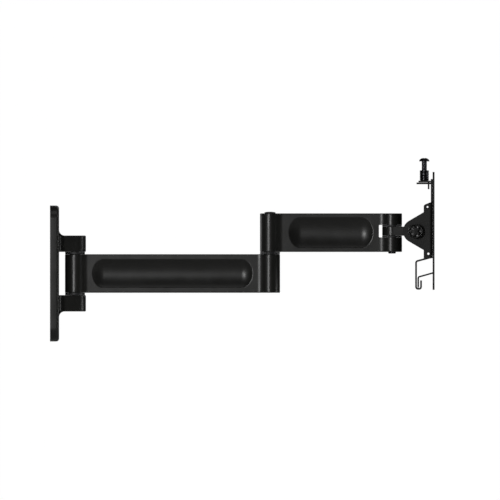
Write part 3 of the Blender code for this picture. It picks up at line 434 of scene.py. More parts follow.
def group_tree(name: str, numbers: dict[str, str]) -> tuple[bpy.types.NodeTree, bpy.types.Node]:
    """A geometry node tree with named inputs.

    Args:
        name: The tree's name.
        numbers: Each input's name and its socket type.

    Returns:
        The tree and its input node.
    """
    tree = bpy.data.node_groups.new(name, "GeometryNodeTree")
    tree.interface.new_socket("Shape", in_out="INPUT", socket_type="NodeSocketGeometry")
    for label, kind in numbers.items():
        tree.interface.new_socket(label, in_out="INPUT", socket_type=kind)
    tree.interface.new_socket("Finish", in_out="INPUT", socket_type="NodeSocketMaterial")
    tree.interface.new_socket("Shape", in_out="OUTPUT", socket_type="NodeSocketGeometry")
    return tree, add(tree, "NodeGroupInput")


def close_tree(tree: bpy.types.NodeTree, given: bpy.types.Node, shape: bpy.types.NodeSocket) -> None:
    """Ends a geometry node tree: instances are made real and the finish is set.

    Args:
        tree: The tree.
        given: Its input node.
        shape: The shape that it ends with.
    """
    real = add(tree, "GeometryNodeRealizeInstances", {0: shape})
    finish = given.outputs["Finish"]
    dressed = add(tree, "GeometryNodeSetMaterial", {"Geometry": real.outputs[0], "Material": finish})
    add(tree, "NodeGroupOutput", {0: dressed.outputs[0]})


def grown(mesh: bpy.types.Mesh, tree: bpy.types.NodeTree, values: dict[str, object]) -> bpy.types.Mesh:
    """Runs a geometry node tree on a mesh.

    Args:
        mesh: What goes in.
        tree: The tree to run.
        values: The value of each named input.

    Returns:
        What comes out, as a plain mesh.
    """
    obj = bpy.data.objects.new("grown", mesh)
    modifier = obj.modifiers.new("grown", "NODES")
    modifier.node_group = tree
    sockets = {item.name: item.identifier for item in tree.interface.items_tree if item.in_out == "INPUT"}
    for name, value in values.items():
        modifier[sockets[name]] = value
    return evaluated_mesh(obj)


FLOAT, WHOLE = "NodeSocketFloat", "NodeSocketInt"


def rows_tree() -> bpy.types.NodeTree:
    """Copies a shape in rows and columns, centred on the origin of the XY plane.

    Returns:
        The node tree.
    """
    tree, given = group_tree(
        "copies in rows", {"Columns": WHOLE, "Rows": WHOLE, "Column Pitch": FLOAT, "Row Pitch": FLOAT}
    )
    value = given.outputs
    spans = []
    for count, pitch in (("Columns", "Column Pitch"), ("Rows", "Row Pitch")):
        gaps = add(tree, "ShaderNodeMath", {0: value[count], 1: 1.0}, operation="SUBTRACT")
        terms = {0: gaps.outputs[0], 1: value[pitch]}
        spans.append(add(tree, "ShaderNodeMath", terms, operation="MULTIPLY"))
    sizes = {"Size X": spans[0].outputs[0], "Size Y": spans[1].outputs[0]}
    counts = {"Vertices X": value["Columns"], "Vertices Y": value["Rows"]}
    grid = add(tree, "GeometryNodeMeshGrid", sizes | counts)
    placed = {"Points": grid.outputs[0], "Instance": value["Shape"]}
    copies = add(tree, "GeometryNodeInstanceOnPoints", placed)
    close_tree(tree, given, copies.outputs[0])
    return tree


def ring_tree() -> bpy.types.NodeTree:
    """Copies a shape round a circle about Z, each copy turned to face outwards.

    Returns:
        The node tree.
    """
    tree, given = group_tree("copies round", {"Count": WHOLE, "Radius": FLOAT, "Start": FLOAT})
    value = given.outputs
    points = add(tree, "GeometryNodeMeshCircle", {"Vertices": value["Count"], "Radius": value["Radius"]})
    index = add(tree, "GeometryNodeInputIndex")
    step = add(tree, "ShaderNodeMath", {0: 2 * math.pi, 1: value["Count"]}, operation="DIVIDE")
    angle = add(tree, "ShaderNodeMath", {0: index.outputs[0], 1: step.outputs[0]}, operation="MULTIPLY")
    facing = add(tree, "ShaderNodeCombineXYZ", {"Z": angle.outputs[0]})
    placed = {"Points": points.outputs[0], "Instance": value["Shape"], "Rotation": facing.outputs[0]}
    copies = add(tree, "GeometryNodeInstanceOnPoints", placed)
    start = add(tree, "ShaderNodeCombineXYZ", {"Z": value["Start"]})
    whole = add(tree, "GeometryNodeTransform", {"Geometry": copies.outputs[0], "Rotation": start.outputs[0]})
    close_tree(tree, given, whole.outputs[0])
    return tree


def scoop_tree() -> bpy.types.NodeTree:
    """Presses a shallow trough with round ends into both sides of an arm that lies along X.

    The trough is a stretched ball's cap: its depth follows the distance from the trough's middle line, and a
    smooth maximum rolls its rim over into the flat side.

    Returns:
        The node tree.
    """
    names = ("Middle X", "Middle Z", "Half Straight", "End Ratio", "Ball Radius", "Ball Sink", "Rim")
    tree, given = group_tree("scooped sides", {name: FLOAT for name in names})
    position = add(tree, "GeometryNodeInputPosition").outputs[0]
    place = add(tree, "ShaderNodeSeparateXYZ", {0: position}).outputs
    known = {**dict(given.outputs.items()), **dict(place.items())}
    for name, operation, *terms in (
        ("offset", "SUBTRACT", "X", "Middle X"),
        ("along", "ABSOLUTE", "offset"),
        ("beyond", "SUBTRACT", "along", "Half Straight"),
        ("past straight", "MAXIMUM", "beyond", 0.0),
        ("end", "DIVIDE", "past straight", "End Ratio"),
        ("up", "SUBTRACT", "Z", "Middle Z"),
        ("end square", "MULTIPLY", "end", "end"),
        ("square", "MULTIPLY_ADD", "up", "up", "end square"),
        ("ball square", "MULTIPLY", "Ball Radius", "Ball Radius"),
        ("left over", "SUBTRACT", "ball square", "square"),
        ("inside", "MAXIMUM", "left over", 0.0),
        ("cap", "SQRT", "inside"),
        ("sunk", "SUBTRACT", "cap", "Ball Sink"),
        ("depth", "SMOOTH_MAX", "sunk", 0.0, "Rim"),
        ("side", "SIGN", "Y"),
        ("pressed", "MULTIPLY", "depth", "side"),
        ("inward", "MULTIPLY", "pressed", -1.0),
    ):
        inputs = {i: known.get(term, term) for i, term in enumerate(terms)}
        known[name] = add(tree, "ShaderNodeMath", inputs, operation=operation).outputs[0]
    value = given.outputs
    shift = add(tree, "ShaderNodeCombineXYZ", {"Y": known["inward"]})
    moved = add(tree, "GeometryNodeSetPosition", {"Geometry": value["Shape"], "Offset": shift.outputs[0]})
    close_tree(tree, given, moved.outputs[0])
    return tree


def thread_tree() -> bpy.types.NodeTree:
    """Presses a single-start thread into an upright shank about Z, between two heights.

    Returns:
        The node tree.
    """
    names = ("Shank", "Pitch", "Depth", "Low", "High")
    tree, given = group_tree("thread", {name: FLOAT for name in names})
    position = add(tree, "GeometryNodeInputPosition").outputs[0]
    place = add(tree, "ShaderNodeSeparateXYZ", {0: position}).outputs
    known = {**dict(given.outputs.items()), **dict(place.items())}
    for name, operation, *terms in (
        ("y square", "MULTIPLY", "Y", "Y"),
        ("square", "MULTIPLY_ADD", "X", "X", "y square"),
        ("radius", "SQRT", "square"),
        ("angle", "ARCTAN2", "Y", "X"),
        ("turn", "DIVIDE", "angle", 2 * math.pi),
        ("climb", "DIVIDE", "Z", "Pitch"),
        ("phase", "SUBTRACT", "climb", "turn"),
        ("groove", "PINGPONG", "phase", 0.5),
        ("above low", "SUBTRACT", "Z", "Low"),
        ("below high", "SUBTRACT", "High", "Z"),
        ("fade low", "DIVIDE", "above low", "Pitch"),
        ("fade high", "DIVIDE", "below high", "Pitch"),
        ("nearer end", "MINIMUM", "fade low", "fade high"),
        ("capped", "MINIMUM", "nearer end", 1.0),
        ("ends", "MAXIMUM", "capped", 0.0),
        ("on shank", "COMPARE", "radius", "Shank", 0.05 * MM),
        ("full depth", "MULTIPLY", "Depth", "ends"),
        ("groove share", "MULTIPLY", "groove", 2.0),
        ("depth", "MULTIPLY", "groove share", "full depth"),
        ("cut", "MULTIPLY", "depth", "on shank"),
        ("inwards", "MULTIPLY", "radius", -1.0),
        ("share", "DIVIDE", "cut", "inwards"),
    ):
        inputs = {i: known.get(term, term) for i, term in enumerate(terms)}
        known[name] = add(tree, "ShaderNodeMath", inputs, operation=operation).outputs[0]
    value = given.outputs
    flat = add(tree, "ShaderNodeCombineXYZ", {"X": known["X"], "Y": known["Y"]})
    along = {0: flat.outputs[0], "Scale": known["share"]}
    shift = add(tree, "ShaderNodeVectorMath", along, operation="SCALE")
    moved = add(tree, "GeometryNodeSetPosition", {"Geometry": value["Shape"], "Offset": shift.outputs[0]})
    close_tree(tree, given, moved.outputs[0])
    return tree


# ---- Finishes --------------------------------------------------------------------------------------------


def linear(code: str) -> tuple[float, float, float, float]:
    """Turns an sRGB hex colour into the linear colour that a shader takes.

    Args:
        code: The colour, as #rrggbb.

    Returns:
        Red, green, blue and alpha.
    """
    channels = [int(code[i : i + 2], 16) / 255 for i in (1, 3, 5)]
    lit = [c / 12.92 if c <= 0.04045 else ((c + 0.055) / 1.055) ** 2.4 for c in channels]
    return (*lit, 1.0)


GLOSS_RANGE = (0.3, 0.7)  # nearly all of a noise lies in this range


def surface(
    tree: bpy.types.NodeTree,
    shader: bpy.types.Node,
    finish: "Finish",
    tint: bpy.types.NodeSocket,
    gloss: bpy.types.NodeSocket,
    reach: Point,
) -> None:
    """Gives a shader its two mixed colours and its uneven gloss.

    Args:
        tree: The material's node tree.
        shader: Its shader.
        finish: The finish, which holds the colours, the roughness and how far that varies.
        tint: The pattern that mixes the colours.
        gloss: The pattern that the roughness follows.
        reach: The lowest and highest value of that pattern.
    """
    colours = {"Factor": tint, 6: linear(finish.dark), 7: linear(finish.light)}
    colour = add(tree, "ShaderNodeMix", colours, data_type="RGBA")
    limits = {"From Min": reach[0], "From Max": reach[1]}
    limits |= {"To Min": finish.roughness - finish.spread, "To Max": finish.roughness + finish.spread}
    rough = add(tree, "ShaderNodeMapRange", {"Value": gloss, **limits})
    tree.links.new(colour.outputs[2], shader.inputs["Base Color"])
    tree.links.new(rough.outputs[0], shader.inputs["Roughness"])


def roughen(
    tree: bpy.types.NodeTree,
    shader: bpy.types.Node,
    height: bpy.types.NodeSocket,
    depth: float,
    strength: float,
) -> None:
    """Gives a shader a relief.

    Args:
        tree: The material's node tree.
        shader: Its shader.
        height: The pattern of the relief.
        depth: How deep it is.
        strength: How strongly it shows.
    """
    relief = add(tree, "ShaderNodeBump", {"Height": height, "Distance": depth, "Strength": strength})
    tree.links.new(relief.outputs[0], shader.inputs["Normal"])


class Grain(Enum):
    """Which way a turned surface's fine rings are stacked."""

    UPRIGHT = (0.12, 0.12, 1.0)
    ACROSS = (0.12, 1.0, 0.12)


@dataclass(frozen=True)
class Coating:
    """Satin black powder coat over a casting or a pressed sheet, sprayed and baked.

    It has the faint orange peel of melted powder, a soft even sheen, and slightly uneven gloss.
    """

    name: str
    slot: str
    dark: str = "#1c1c1b"
    light: str = "#242422"
    roughness: float = 0.32
    spread: float = 0.03
    peel: float = 0.9 * MM  # from one bump of the orange peel to the next
    peel_depth: float = 0.003 * MM
    dust: float = 0.25 * MM  # fine grit in the powder, drawn as coarse as it needs to show
    grit_share: float = 0.25
    patch: float = 14.0 * MM  # the size of the areas whose gloss differs

    def material(self) -> bpy.types.Material:
        """Builds the finish.

        Returns:
            The material.
        """
        material, tree, shader = new_material(self.name)
        where = add(tree, "ShaderNodeTexCoord").outputs["Object"]
        patches = add(tree, "ShaderNodeTexNoise", {"Vector": where, "Scale": 1 / self.patch, "Detail": 3.0})
        grit = add(tree, "ShaderNodeTexNoise", {"Vector": where, "Scale": 1 / self.dust, "Detail": 1.0})
        peel = add(tree, "ShaderNodeTexNoise", {"Vector": where, "Scale": 1 / self.peel, "Detail": 2.0})
        weave = {0: grit.outputs["Fac"], 1: self.grit_share, 2: peel.outputs["Fac"]}
        height = add(tree, "ShaderNodeMath", weave, operation="MULTIPLY_ADD").outputs[0]
        surface(tree, shader, self, grit.outputs["Fac"], patches.outputs["Fac"], GLOSS_RANGE)
        roughen(tree, shader, height, self.peel_depth, 1.0)
        return material


@dataclass(frozen=True)
class BlackSteel:
    """Turned steel blackened in a hot oxide bath, and oiled.

    The lathe's feed lines run round it, so a highlight along it is crisp and slightly broken.
    """

    name: str
    slot: str
    grain: Grain = Grain.UPRIGHT
    dark: str = "#242426"
    light: str = "#38383b"
    roughness: float = 0.3
    spread: float = 0.06
    feed: float = 0.35 * MM  # real feed lines are 0.1 mm apart, drawn coarser so that they show
    feed_depth: float = 0.0015 * MM
    stain: float = 6.0 * MM  # the size of the areas where the oxide is thicker

    def material(self) -> bpy.types.Material:
        """Builds the finish.

        Returns:
            The material.
        """
        material, tree, shader = new_material(self.name)
        where = add(tree, "ShaderNodeTexCoord").outputs["Object"]
        stretched = add(tree, "ShaderNodeMapping", {"Vector": where, "Scale": self.grain.value})
        rings = {"Vector": stretched.outputs[0], "Scale": 1 / self.feed, "Detail": 2.0, "Roughness": 0.6}
        lines = add(tree, "ShaderNodeTexNoise", rings)
        stain = add(tree, "ShaderNodeTexNoise", {"Vector": where, "Scale": 1 / self.stain, "Detail": 4.0})
        shader.inputs["Metallic"].default_value = 1.0
        surface(tree, shader, self, stain.outputs["Fac"], lines.outputs["Fac"], GLOSS_RANGE)
        roughen(tree, shader, lines.outputs["Fac"], self.feed_depth, 1.0)
        return material


@dataclass(frozen=True)
class MouldedPlastic:
    """Injection-moulded black nylon or ABS from a spark-eroded tool.

    The tool leaves a fine even texture of shallow pits, with a dull sheen.
    """

    name: str
    slot: str
    dark: str = "#141414"
    light: str = "#1c1c1c"
    roughness: float = 0.42
    spread: float = 0.05
    pit: float = 0.3 * MM  # real pits are 0.05 mm across, drawn coarser so that they show
    pit_depth: float = 0.01 * MM
    flow: float = 5.0 * MM  # the size of the clouds that the melt leaves as it fills the tool

    def material(self) -> bpy.types.Material:
        """Builds the finish.

        Returns:
            The material.
        """
        material, tree, shader = new_material(self.name)
        where = add(tree, "ShaderNodeTexCoord").outputs["Object"]
        pits = add(tree, "ShaderNodeTexVoronoi", {"Vector": where, "Scale": 1 / self.pit})
        flow = add(tree, "ShaderNodeTexNoise", {"Vector": where, "Scale": 1 / self.flow, "Detail": 2.0})
        surface(tree, shader, self, flow.outputs["Fac"], flow.outputs["Fac"], (0.0, 1.0))
        roughen(tree, shader, pits.outputs["Distance"], self.pit_depth, 0.8)
        return material


def new_material(name: str) -> tuple[bpy.types.Material, bpy.types.NodeTree, bpy.types.Node]:
    """A material with only its main shader.

    Args:
        name: The material's name.

    Returns:
        The material, its node tree and its Principled shader.
    """
    material = bpy.data.materials.new(name)
    material.use_nodes = True
    tree = material.node_tree
    return material, tree, tree.nodes["Principled BSDF"]


Finish = Coating | BlackSteel | MouldedPlastic

CAST_COAT = Coating("powder coat on cast aluminium", "black_coat")
ARM_COAT = Coating("powder coat on cast arms", "arm_coat")
SHEET_COAT = Coating(
    "powder coat on pressed steel",
    "sheet_coat",
    dark="#181817",
    light="#1f1f1e",
    peel=0.7 * MM,
    roughness=0.6,
)
UPRIGHT_STEEL = BlackSteel("black oxide steel, upright", "black_steel")
ACROSS_STEEL = BlackSteel("black oxide steel, across", "black_steel", grain=Grain.ACROSS)
BLACK_PLASTIC = MouldedPlastic("moulded black plastic", "black_plastic")
GLOSSY_PLASTIC = MouldedPlastic(
    "moulded black plastic, polished tool", "black_plastic", roughness=0.28, pit_depth=0.002 * MM
)
NYLON = MouldedPlastic("moulded bush nylon", "bush_nylon", dark="#222224", light="#2b2b2d", roughness=0.5)


@dataclass
class Workshop:
    """Holds the finishes and node trees that every piece is made with, and hands each piece over."""

    materials: dict[str, bpy.types.Material] = field(default_factory=dict)
    rows: bpy.types.NodeTree = field(default_factory=rows_tree)
    ring: bpy.types.NodeTree = field(default_factory=ring_tree)
    scoop: bpy.types.NodeTree = field(default_factory=scoop_tree)
    thread: bpy.types.NodeTree = field(default_factory=thread_tree)

    def material(self, finish: Finish) -> bpy.types.Material:
        """The material of a finish, built when it is first asked for.

        Args:
            finish: The finish.

        Returns:
            Its material.
        """
        if finish.name not in self.materials:
            self.materials[finish.name] = finish.material()
        return self.materials[finish.name]

    def copies(
        self, mesh: bpy.types.Mesh, finish: Finish, counts: tuple[int, int], pitch: Point
    ) -> bpy.types.Mesh:
        """Copies a shape in rows and columns.

        Args:
            mesh: The shape, on the XY plane.
            finish: Its finish.
            counts: How many columns and how many rows.
            pitch: The spacing of the columns and of the rows.

        Returns:
            All the copies as one mesh.
        """
        values = {"Columns": counts[0], "Rows": counts[1], "Column Pitch": pitch[0], "Row Pitch": pitch[1]}
        return tidied(grown(mesh, self.rows, values | {"Finish": self.material(finish)}))

    def ringed(
        self, mesh: bpy.types.Mesh, finish: Finish, count: int, radius: float, start: float
    ) -> bpy.types.Mesh:
        """Copies a shape round Z.

        Args:
            mesh: The shape.
            finish: Its finish.
            count: How many copies.
            radius: How far from Z they are.
            start: The first one's angle, in radians.

        Returns:
            All the copies as one mesh.
        """
        values = {"Count": count, "Radius": radius, "Start": start, "Finish": self.material(finish)}
        return tidied(grown(mesh, self.ring, values))

    def threaded(
        self, profile: Outline, finish: Finish, radius: float, pitch: float, depth: float, ends: Point
    ) -> bpy.types.Mesh:
        """A turned shape with a thread on its shank.

        Args:
            profile: Its profile.
            finish: Its finish.
            radius: The shank's radius.
            pitch: The thread's pitch.
            depth: The thread's depth.
            ends: The heights where the thread starts and ends.

        Returns:
            The shape, about Z.
        """
        values = {"Shank": radius, "Pitch": pitch, "Depth": depth, "Low": ends[0], "High": ends[1]}
        values["Finish"] = self.material(finish)
        return grown(turned(profile, rows=pitch / THREAD_ROWS), self.thread, values)

    def hand_over(
        self, mesh: bpy.types.Mesh, name: str, body: str, finish: Finish, *nodes: str
    ) -> bpy.types.Object:
        """Makes a finished mesh a piece of the mount.

        Args:
            mesh: The piece's mesh, in its place.
            name: The piece's name.
            body: The body that it rides on.
            finish: What it is coated with or made of.
            *nodes: The working solids that it stands for.

        Returns:
            The piece.
        """
        mesh.name = name
        mesh.materials.clear()
        mesh.materials.append(self.material(finish))
        mesh.polygons.foreach_set("material_index", [0] * len(mesh.polygons))
        mesh.shade_smooth()
        mesh.set_sharp_from_angle(angle=SHARP)
        piece = bpy.data.objects.new(name, flat_shaded(mesh))
        bpy.context.scene.collection.objects.link(piece)
        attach(piece, body)
        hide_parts(*nodes)
        log.info("%s: %d faces, rides on %s", name, len(mesh.polygons), body)
        return piece


def joint_place(name: str) -> Vector:
    """Where a joint's axis is."""
    return next(Vector(joint["pos_m"]) for joint in frame["joints"] if joint["name"] == name)


def span(node: str, axis: int) -> float:
    """The width of a working solid along one axis."""
    low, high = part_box(node)
    return high[axis] - low[axis]


def stand(node: str, up: int = 1) -> Vector:
    """The middle of a working solid's lowest face, or of its highest one.

    Args:
        node: The working solid.
        up: 1 for a piece that stands on its lowest face, -1 for one that hangs from its highest.

    Returns:
        The middle of that face.
    """
    low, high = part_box(node)
    middle = (low + high) / 2
    middle.z = low.z if up > 0 else high.z
    return middle


# ---- Arms ------------------------------------------------------------------------------------------------


@dataclass
class Arm:
    """A die-cast arm: a barrel at each end, a flat body between them, and a trough in each side."""

    node: str
    body: str
    axis: Vector
    reach: float
    trough_start: float
    trough_border: float
    thickness: float = 12.0 * MM
    barrel: float = 10.0 * MM
    fillet: float = 11.5 * MM
    edge: float = 0.8 * MM
    edge_steps: int = 4
    trough_depth: float = 3.5 * MM
    end_ratio: float = 0.8
    rim: float = 0.28 * MM
    mesh_size: float = 0.55 * MM

    @property
    def half(self) -> float:
        """Half the arm's height."""
        return span(self.node, 2) / 2

    def plan(self) -> list[tuple[float, float, float, float]]:
        """The arm's plan, counter-clockwise, as points (x, y) with their outward normals.

        Returns:
            The points, at the foot's height.
        """
        rise = self.thickness / 2 + self.fillet
        run = math.sqrt((self.barrel + self.fillet) ** 2 - rise**2)
        turn = math.degrees(math.atan2(rise, run))
        reach = self.reach
        samples: list[tuple[float, float, float, float]] = []

        def bend(centre: Point, radius: float, start: float, end: float) -> None:
            """Adds an arc, whose normal points out from a barrel and in towards a fillet's centre."""
            sign = 1 if radius == self.barrel else -1
            for x, y in arc(centre, radius, start, end)[:-1]:
                samples.append((x, y, sign * (x - centre[0]) / radius, sign * (y - centre[1]) / radius))

        def flat(start: float, end: float, side: int) -> None:
            """Adds a straight side in short steps."""
            steps = round(abs(end - start) / self.mesh_size)
            for i in range(steps):
                samples.append((start + (end - start) * i / steps, side * self.thickness / 2, 0.0, side))

        bend((reach, 0), self.barrel, turn - 180, 180 - turn)
        bend((reach - run, rise), self.fillet, -turn, -90)
        flat(reach - run, run, 1)
        bend((run, rise), self.fillet, -90, turn - 180)
        bend((0, 0), self.barrel, turn, 360 - turn)
        bend((run, -rise), self.fillet, 180 - turn, 90)
        flat(run, reach - run, -1)
        bend((reach - run, -rise), self.fillet, 90, turn)
        return samples

    def levels(self) -> list[Point]:
        """Heights from the foot to the top, each with how far the rounded edge draws the plan in there.

        Returns:
            Each level as its height and how far in it lies.
        """
        straight = self.half - self.edge
        quarter = [math.pi / 2 * (1 - i / self.edge_steps) for i in range(self.edge_steps)]
        foot = [(-straight - self.edge * math.sin(a), self.edge * (1 - math.cos(a))) for a in quarter]
        count = round(2 * straight / self.mesh_size)
        middle = [(-straight + 2 * straight * i / count, 0.0) for i in range(count + 1)]
        return foot + middle + [(-z, inset) for z, inset in reversed(foot)]

    def casting(self, shop: Workshop) -> bpy.types.Mesh:
        """The arm without its bores: the plan drawn up through its levels, and its sides scooped.

        Args:
            shop: Where its node tree and finish come from.

        Returns:
            The arm, in its place.
        """
        plan, levels = self.plan(), self.levels()
        count = len(plan)
        verts = [
            (self.axis.x + x - nx * inset, self.axis.y + y - ny * inset, self.axis.z + z)
            for z, inset in levels
            for x, y, nx, ny in plan
        ]
        faces: list[tuple[int, ...]] = [tuple(reversed(range(count)))]
        for row in range(len(levels) - 1):
            low, high = row * count, (row + 1) * count
            for i in range(count):
                after = (i + 1) % count
                faces.append((low + i, low + after, high + after, high + i))
        top = (len(levels) - 1) * count
        faces.append(tuple(range(top, top + count)))
        mesh = bpy.data.meshes.new(self.node)
        mesh.from_pydata(verts, [], faces)
        half = self.half - self.trough_border
        radius = (half**2 + self.trough_depth**2) / (2 * self.trough_depth)
        values = {
            "Middle X": self.axis.x + self.reach / 2,
            "Middle Z": self.axis.z,
            "Half Straight": self.reach / 2 - self.trough_start - self.end_ratio * half,
            "End Ratio": self.end_ratio,
            "Ball Radius": radius,
            "Ball Sink": radius - self.trough_depth,
            "Rim": self.rim,
            "Finish": shop.material(ARM_COAT),
        }
        return grown(mesh, shop.scoop, values)

    def bore(self, out: float, stretches: Sequence[Point]) -> bpy.types.Mesh:
        """A stepped bore's cutter, at a distance from the arm's own axis."""
        place = self.axis + Vector((out, 0, 0))
        return laid(stepped_bore(self.half + PAST, stretches), Lay.LEVEL, place)


@dataclass
class Arms:
    """The inner and the outer arm."""

    shop: Workshop
    bush_seat: float = 5.77 * MM
    pin_room: float = 4.3 * MM
    bush_depth: float = 12.3 * MM
    nut_room: float = 6.88 * MM
    nut_depth: float = 4.3 * MM
    cap_seat: float = 5.65 * MM
    cap_depth: float = 5.7 * MM
    head_bore: float = 3.92 * MM
    fork_depth: float = 13.05 * MM
    fork_height: float = 12.4 * MM

    def build(self) -> None:
        """Makes both arms."""
        wall, elbow, head = joint_place("wall_swivel"), joint_place("elbow"), joint_place("head_swivel")
        inner = Arm("inner_arm", "inner", wall, elbow.x - wall.x, 17.5 * MM, 5.2 * MM)
        past, floor = inner.half + PAST, inner.half - self.bush_depth
        at_wall = inner.bore(0, [(self.bush_seat, floor), (self.pin_room, -floor), (self.bush_seat, -past)])
        nut_floor = self.nut_depth - inner.half
        at_elbow = inner.bore(
            inner.reach, [(self.bush_seat, floor), (self.pin_room, nut_floor), (self.nut_room, -past)]
        )
        mesh = carved(inner.casting(self.shop), less=[at_wall, at_elbow])
        self.shop.hand_over(mesh, "inner_arm_casting", "inner", ARM_COAT, "inner_arm")

        outer = Arm("outer_arm", "outer", elbow, head.x - elbow.x, 19.1 * MM, 4.0 * MM)
        cap_floor = outer.half - self.cap_depth
        steps = [(self.cap_seat, cap_floor), (self.pin_room, -floor), (self.bush_seat, -past)]
        at_elbow = outer.bore(0, steps)
        at_head = outer.bore(
            outer.reach, [(self.nut_room, outer.half - self.nut_depth - REST_GAP), (self.head_bore, -past)]
        )
        mesh = carved(outer.casting(self.shop), less=[at_elbow, at_head, self.fork(head, outer)])
        self.shop.hand_over(mesh, "outer_arm_casting", "outer", ARM_COAT, "outer_arm")

    def fork(self, head: Vector, arm: Arm) -> bpy.types.Mesh:
        """The slot between the fork's fingers, with soft corners at its inner end.

        Args:
            head: Where the head's pin is.
            arm: The arm.

        Returns:
            The cutter.
        """
        length = self.fork_depth + 2 * arm.barrel
        outline = softened(block(length, self.fork_height), 0.8 * MM)
        middle = head + Vector((length / 2 - self.fork_depth, 0, 0))
        return laid(cut_flat([outline], 4 * arm.barrel), Lay.SIDE, middle)


# ---- Wall plate ------------------------------------------------------------------------------------------


@dataclass
class WallPlate:
    """The cast plate on the wall, with two ears for the pin, six screw holes and a ribbed back."""

    shop: Workshop
    thickness: float = 9.1 * MM
    corner: float = 14.0 * MM
    edge_round: float = 2.7 * MM
    skin: float = 3.4 * MM
    rim: float = 4.0 * MM
    rib: float = 3.0 * MM
    spine: float = 8.0 * MM
    pocket_rows: int = 4
    hole: float = 4.2 * MM
    seat: float = 7.5 * MM
    seat_depth: float = 1.2 * MM
    hole_margin: float = 14.0 * MM
    hole_side_margin: float = 13.0 * MM
    ear_thick: float = 16.4 * MM
    ear_radius: float = 10.9 * MM
    ear_flare: float = 4.5 * MM
    ear_fillet: float = 5.5 * MM
    ear_edge: float = 1.0 * MM
    ear_root: float = 4.0 * MM
    pin_head_room: float = 7.0 * MM
    pin_bore: float = 4.12 * MM
    pin_seat_depth: float = 5.7 * MM
    hole_chamfer: float = 0.4 * MM

    def build(self) -> None:
        """Makes the plate."""
        width, height = span("wall_plate", 1), span("wall_plate", 2)
        plate = self.face(width, height)
        ear_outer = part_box("wall_cap_upper")[1].z
        parts = []
        for side in (-1, 1):
            parts.append(self.ear(side, ear_outer))
            parts.append(self.fillet(side, ear_outer))
        cutters = [self.pockets(width, height), self.holes(width, height), self.pin(ear_outer)]
        mesh = carved(plate, less=cutters, plus=parts)
        self.shop.hand_over(mesh, "wall_plate_casting", "wall", CAST_COAT, "wall_plate")

    def face(self, width: float, height: float) -> bpy.types.Mesh:
        """The plate itself: a slab with round edges, cut off flat where it meets the wall.

        Args:
            width: The plate's width.
            height: The plate's height.

        Returns:
            The slab.
        """
        outline = softened_box(width, height, self.corner)
        slab = laid(cut_flat([outline], 2 * self.thickness, self.edge_round), Lay.FRONT)
        edit = bmesh.new()
        edit.from_mesh(slab)
        everything = edit.verts[:] + edit.edges[:] + edit.faces[:]
        plane = {"plane_co": (0, 0, 0), "plane_no": (1, 0, 0)}
        cut = bmesh.ops.bisect_plane(edit, geom=everything, clear_inner=True, **plane)
        rim = [item for item in cut["geom_cut"] if isinstance(item, bmesh.types.BMEdge)]
        bmesh.ops.holes_fill(edit, edges=rim)
        bmesh.ops.recalc_face_normals(edit, faces=edit.faces)
        edit.to_mesh(slab)
        edit.free()
        return slab

    def ear(self, side: int, outer: float) -> bpy.types.Mesh:
        """An ear: round about the pin, and flaring towards the plate.

        Args:
            side: 1 for the upper ear, -1 for the lower.
            outer: How high its outer face is.

        Returns:
            The ear, in its place.
        """
        axis = joint_place("wall_swivel")
        root = (self.thickness - self.skin / 2, self.ear_radius + self.ear_flare)
        touch = tangent_angle((axis.x, 0), self.ear_radius, root, 1)
        end = arc((axis.x, 0), self.ear_radius, -touch, touch)
        face = self.thickness - 0.02 * MM
        share = (face - root[0]) / (end[-1][0] - root[0])
        meeting = (face, root[1] + (end[-1][1] - root[1]) * share)
        foot = (face, meeting[1] + 2 * self.ear_root)
        hollow = softened([end[-1], meeting, foot], self.ear_root, closed=False)[1:]
        hollow.append((self.thickness - 0.9 * self.skin, foot[1]))
        outline = end + hollow + [(x, -y) for x, y in reversed(hollow)]
        middle = side * (outer - self.ear_thick / 2)
        return laid(cut_flat([outline], self.ear_thick, self.ear_edge), Lay.LEVEL, (0, 0, middle))

    def fillet(self, side: int, outer: float) -> bpy.types.Mesh:
        """The hollow fillet where an ear's outer face runs into the plate.

        Args:
            side: 1 for the upper ear, -1 for the lower.
            outer: How high its outer face is.

        Returns:
            The fillet, in its place.
        """
        depth = self.skin / 2
        centre = (self.thickness + self.ear_fillet, side * (outer + self.ear_fillet))
        hollow = arc(centre, self.ear_fillet, 180, 180 + 90 * side)
        foot = (centre[0], side * (outer - depth))
        back = self.thickness - depth
        outline = hollow + [foot, (back, foot[1]), (back, centre[1])]
        width = 2 * (self.ear_radius + self.ear_flare / 2)
        return laid(cut_flat([outline], width), Lay.SIDE)

    def pockets(self, width: float, height: float) -> bpy.types.Mesh:
        """The hollows between the ribs of the back.

        Args:
            width: The plate's width.
            height: The plate's height.

        Returns:
            The cutter.
        """
        left, right = self.spine / 2, width / 2 - self.rim
        top = height / 2 - self.hole_margin - self.seat - self.rib
        pitch = (2 * top + self.rib) / self.pocket_rows
        outline = softened_box(right - left, pitch - self.rib, self.rib / 2)
        depth = 2 * (self.thickness - self.skin)
        pocket = cut_flat([outline], depth, self.rib / 3)
        both = self.shop.copies(pocket, CAST_COAT, (2, self.pocket_rows), (left + right, pitch))
        return laid(both, Lay.FRONT)

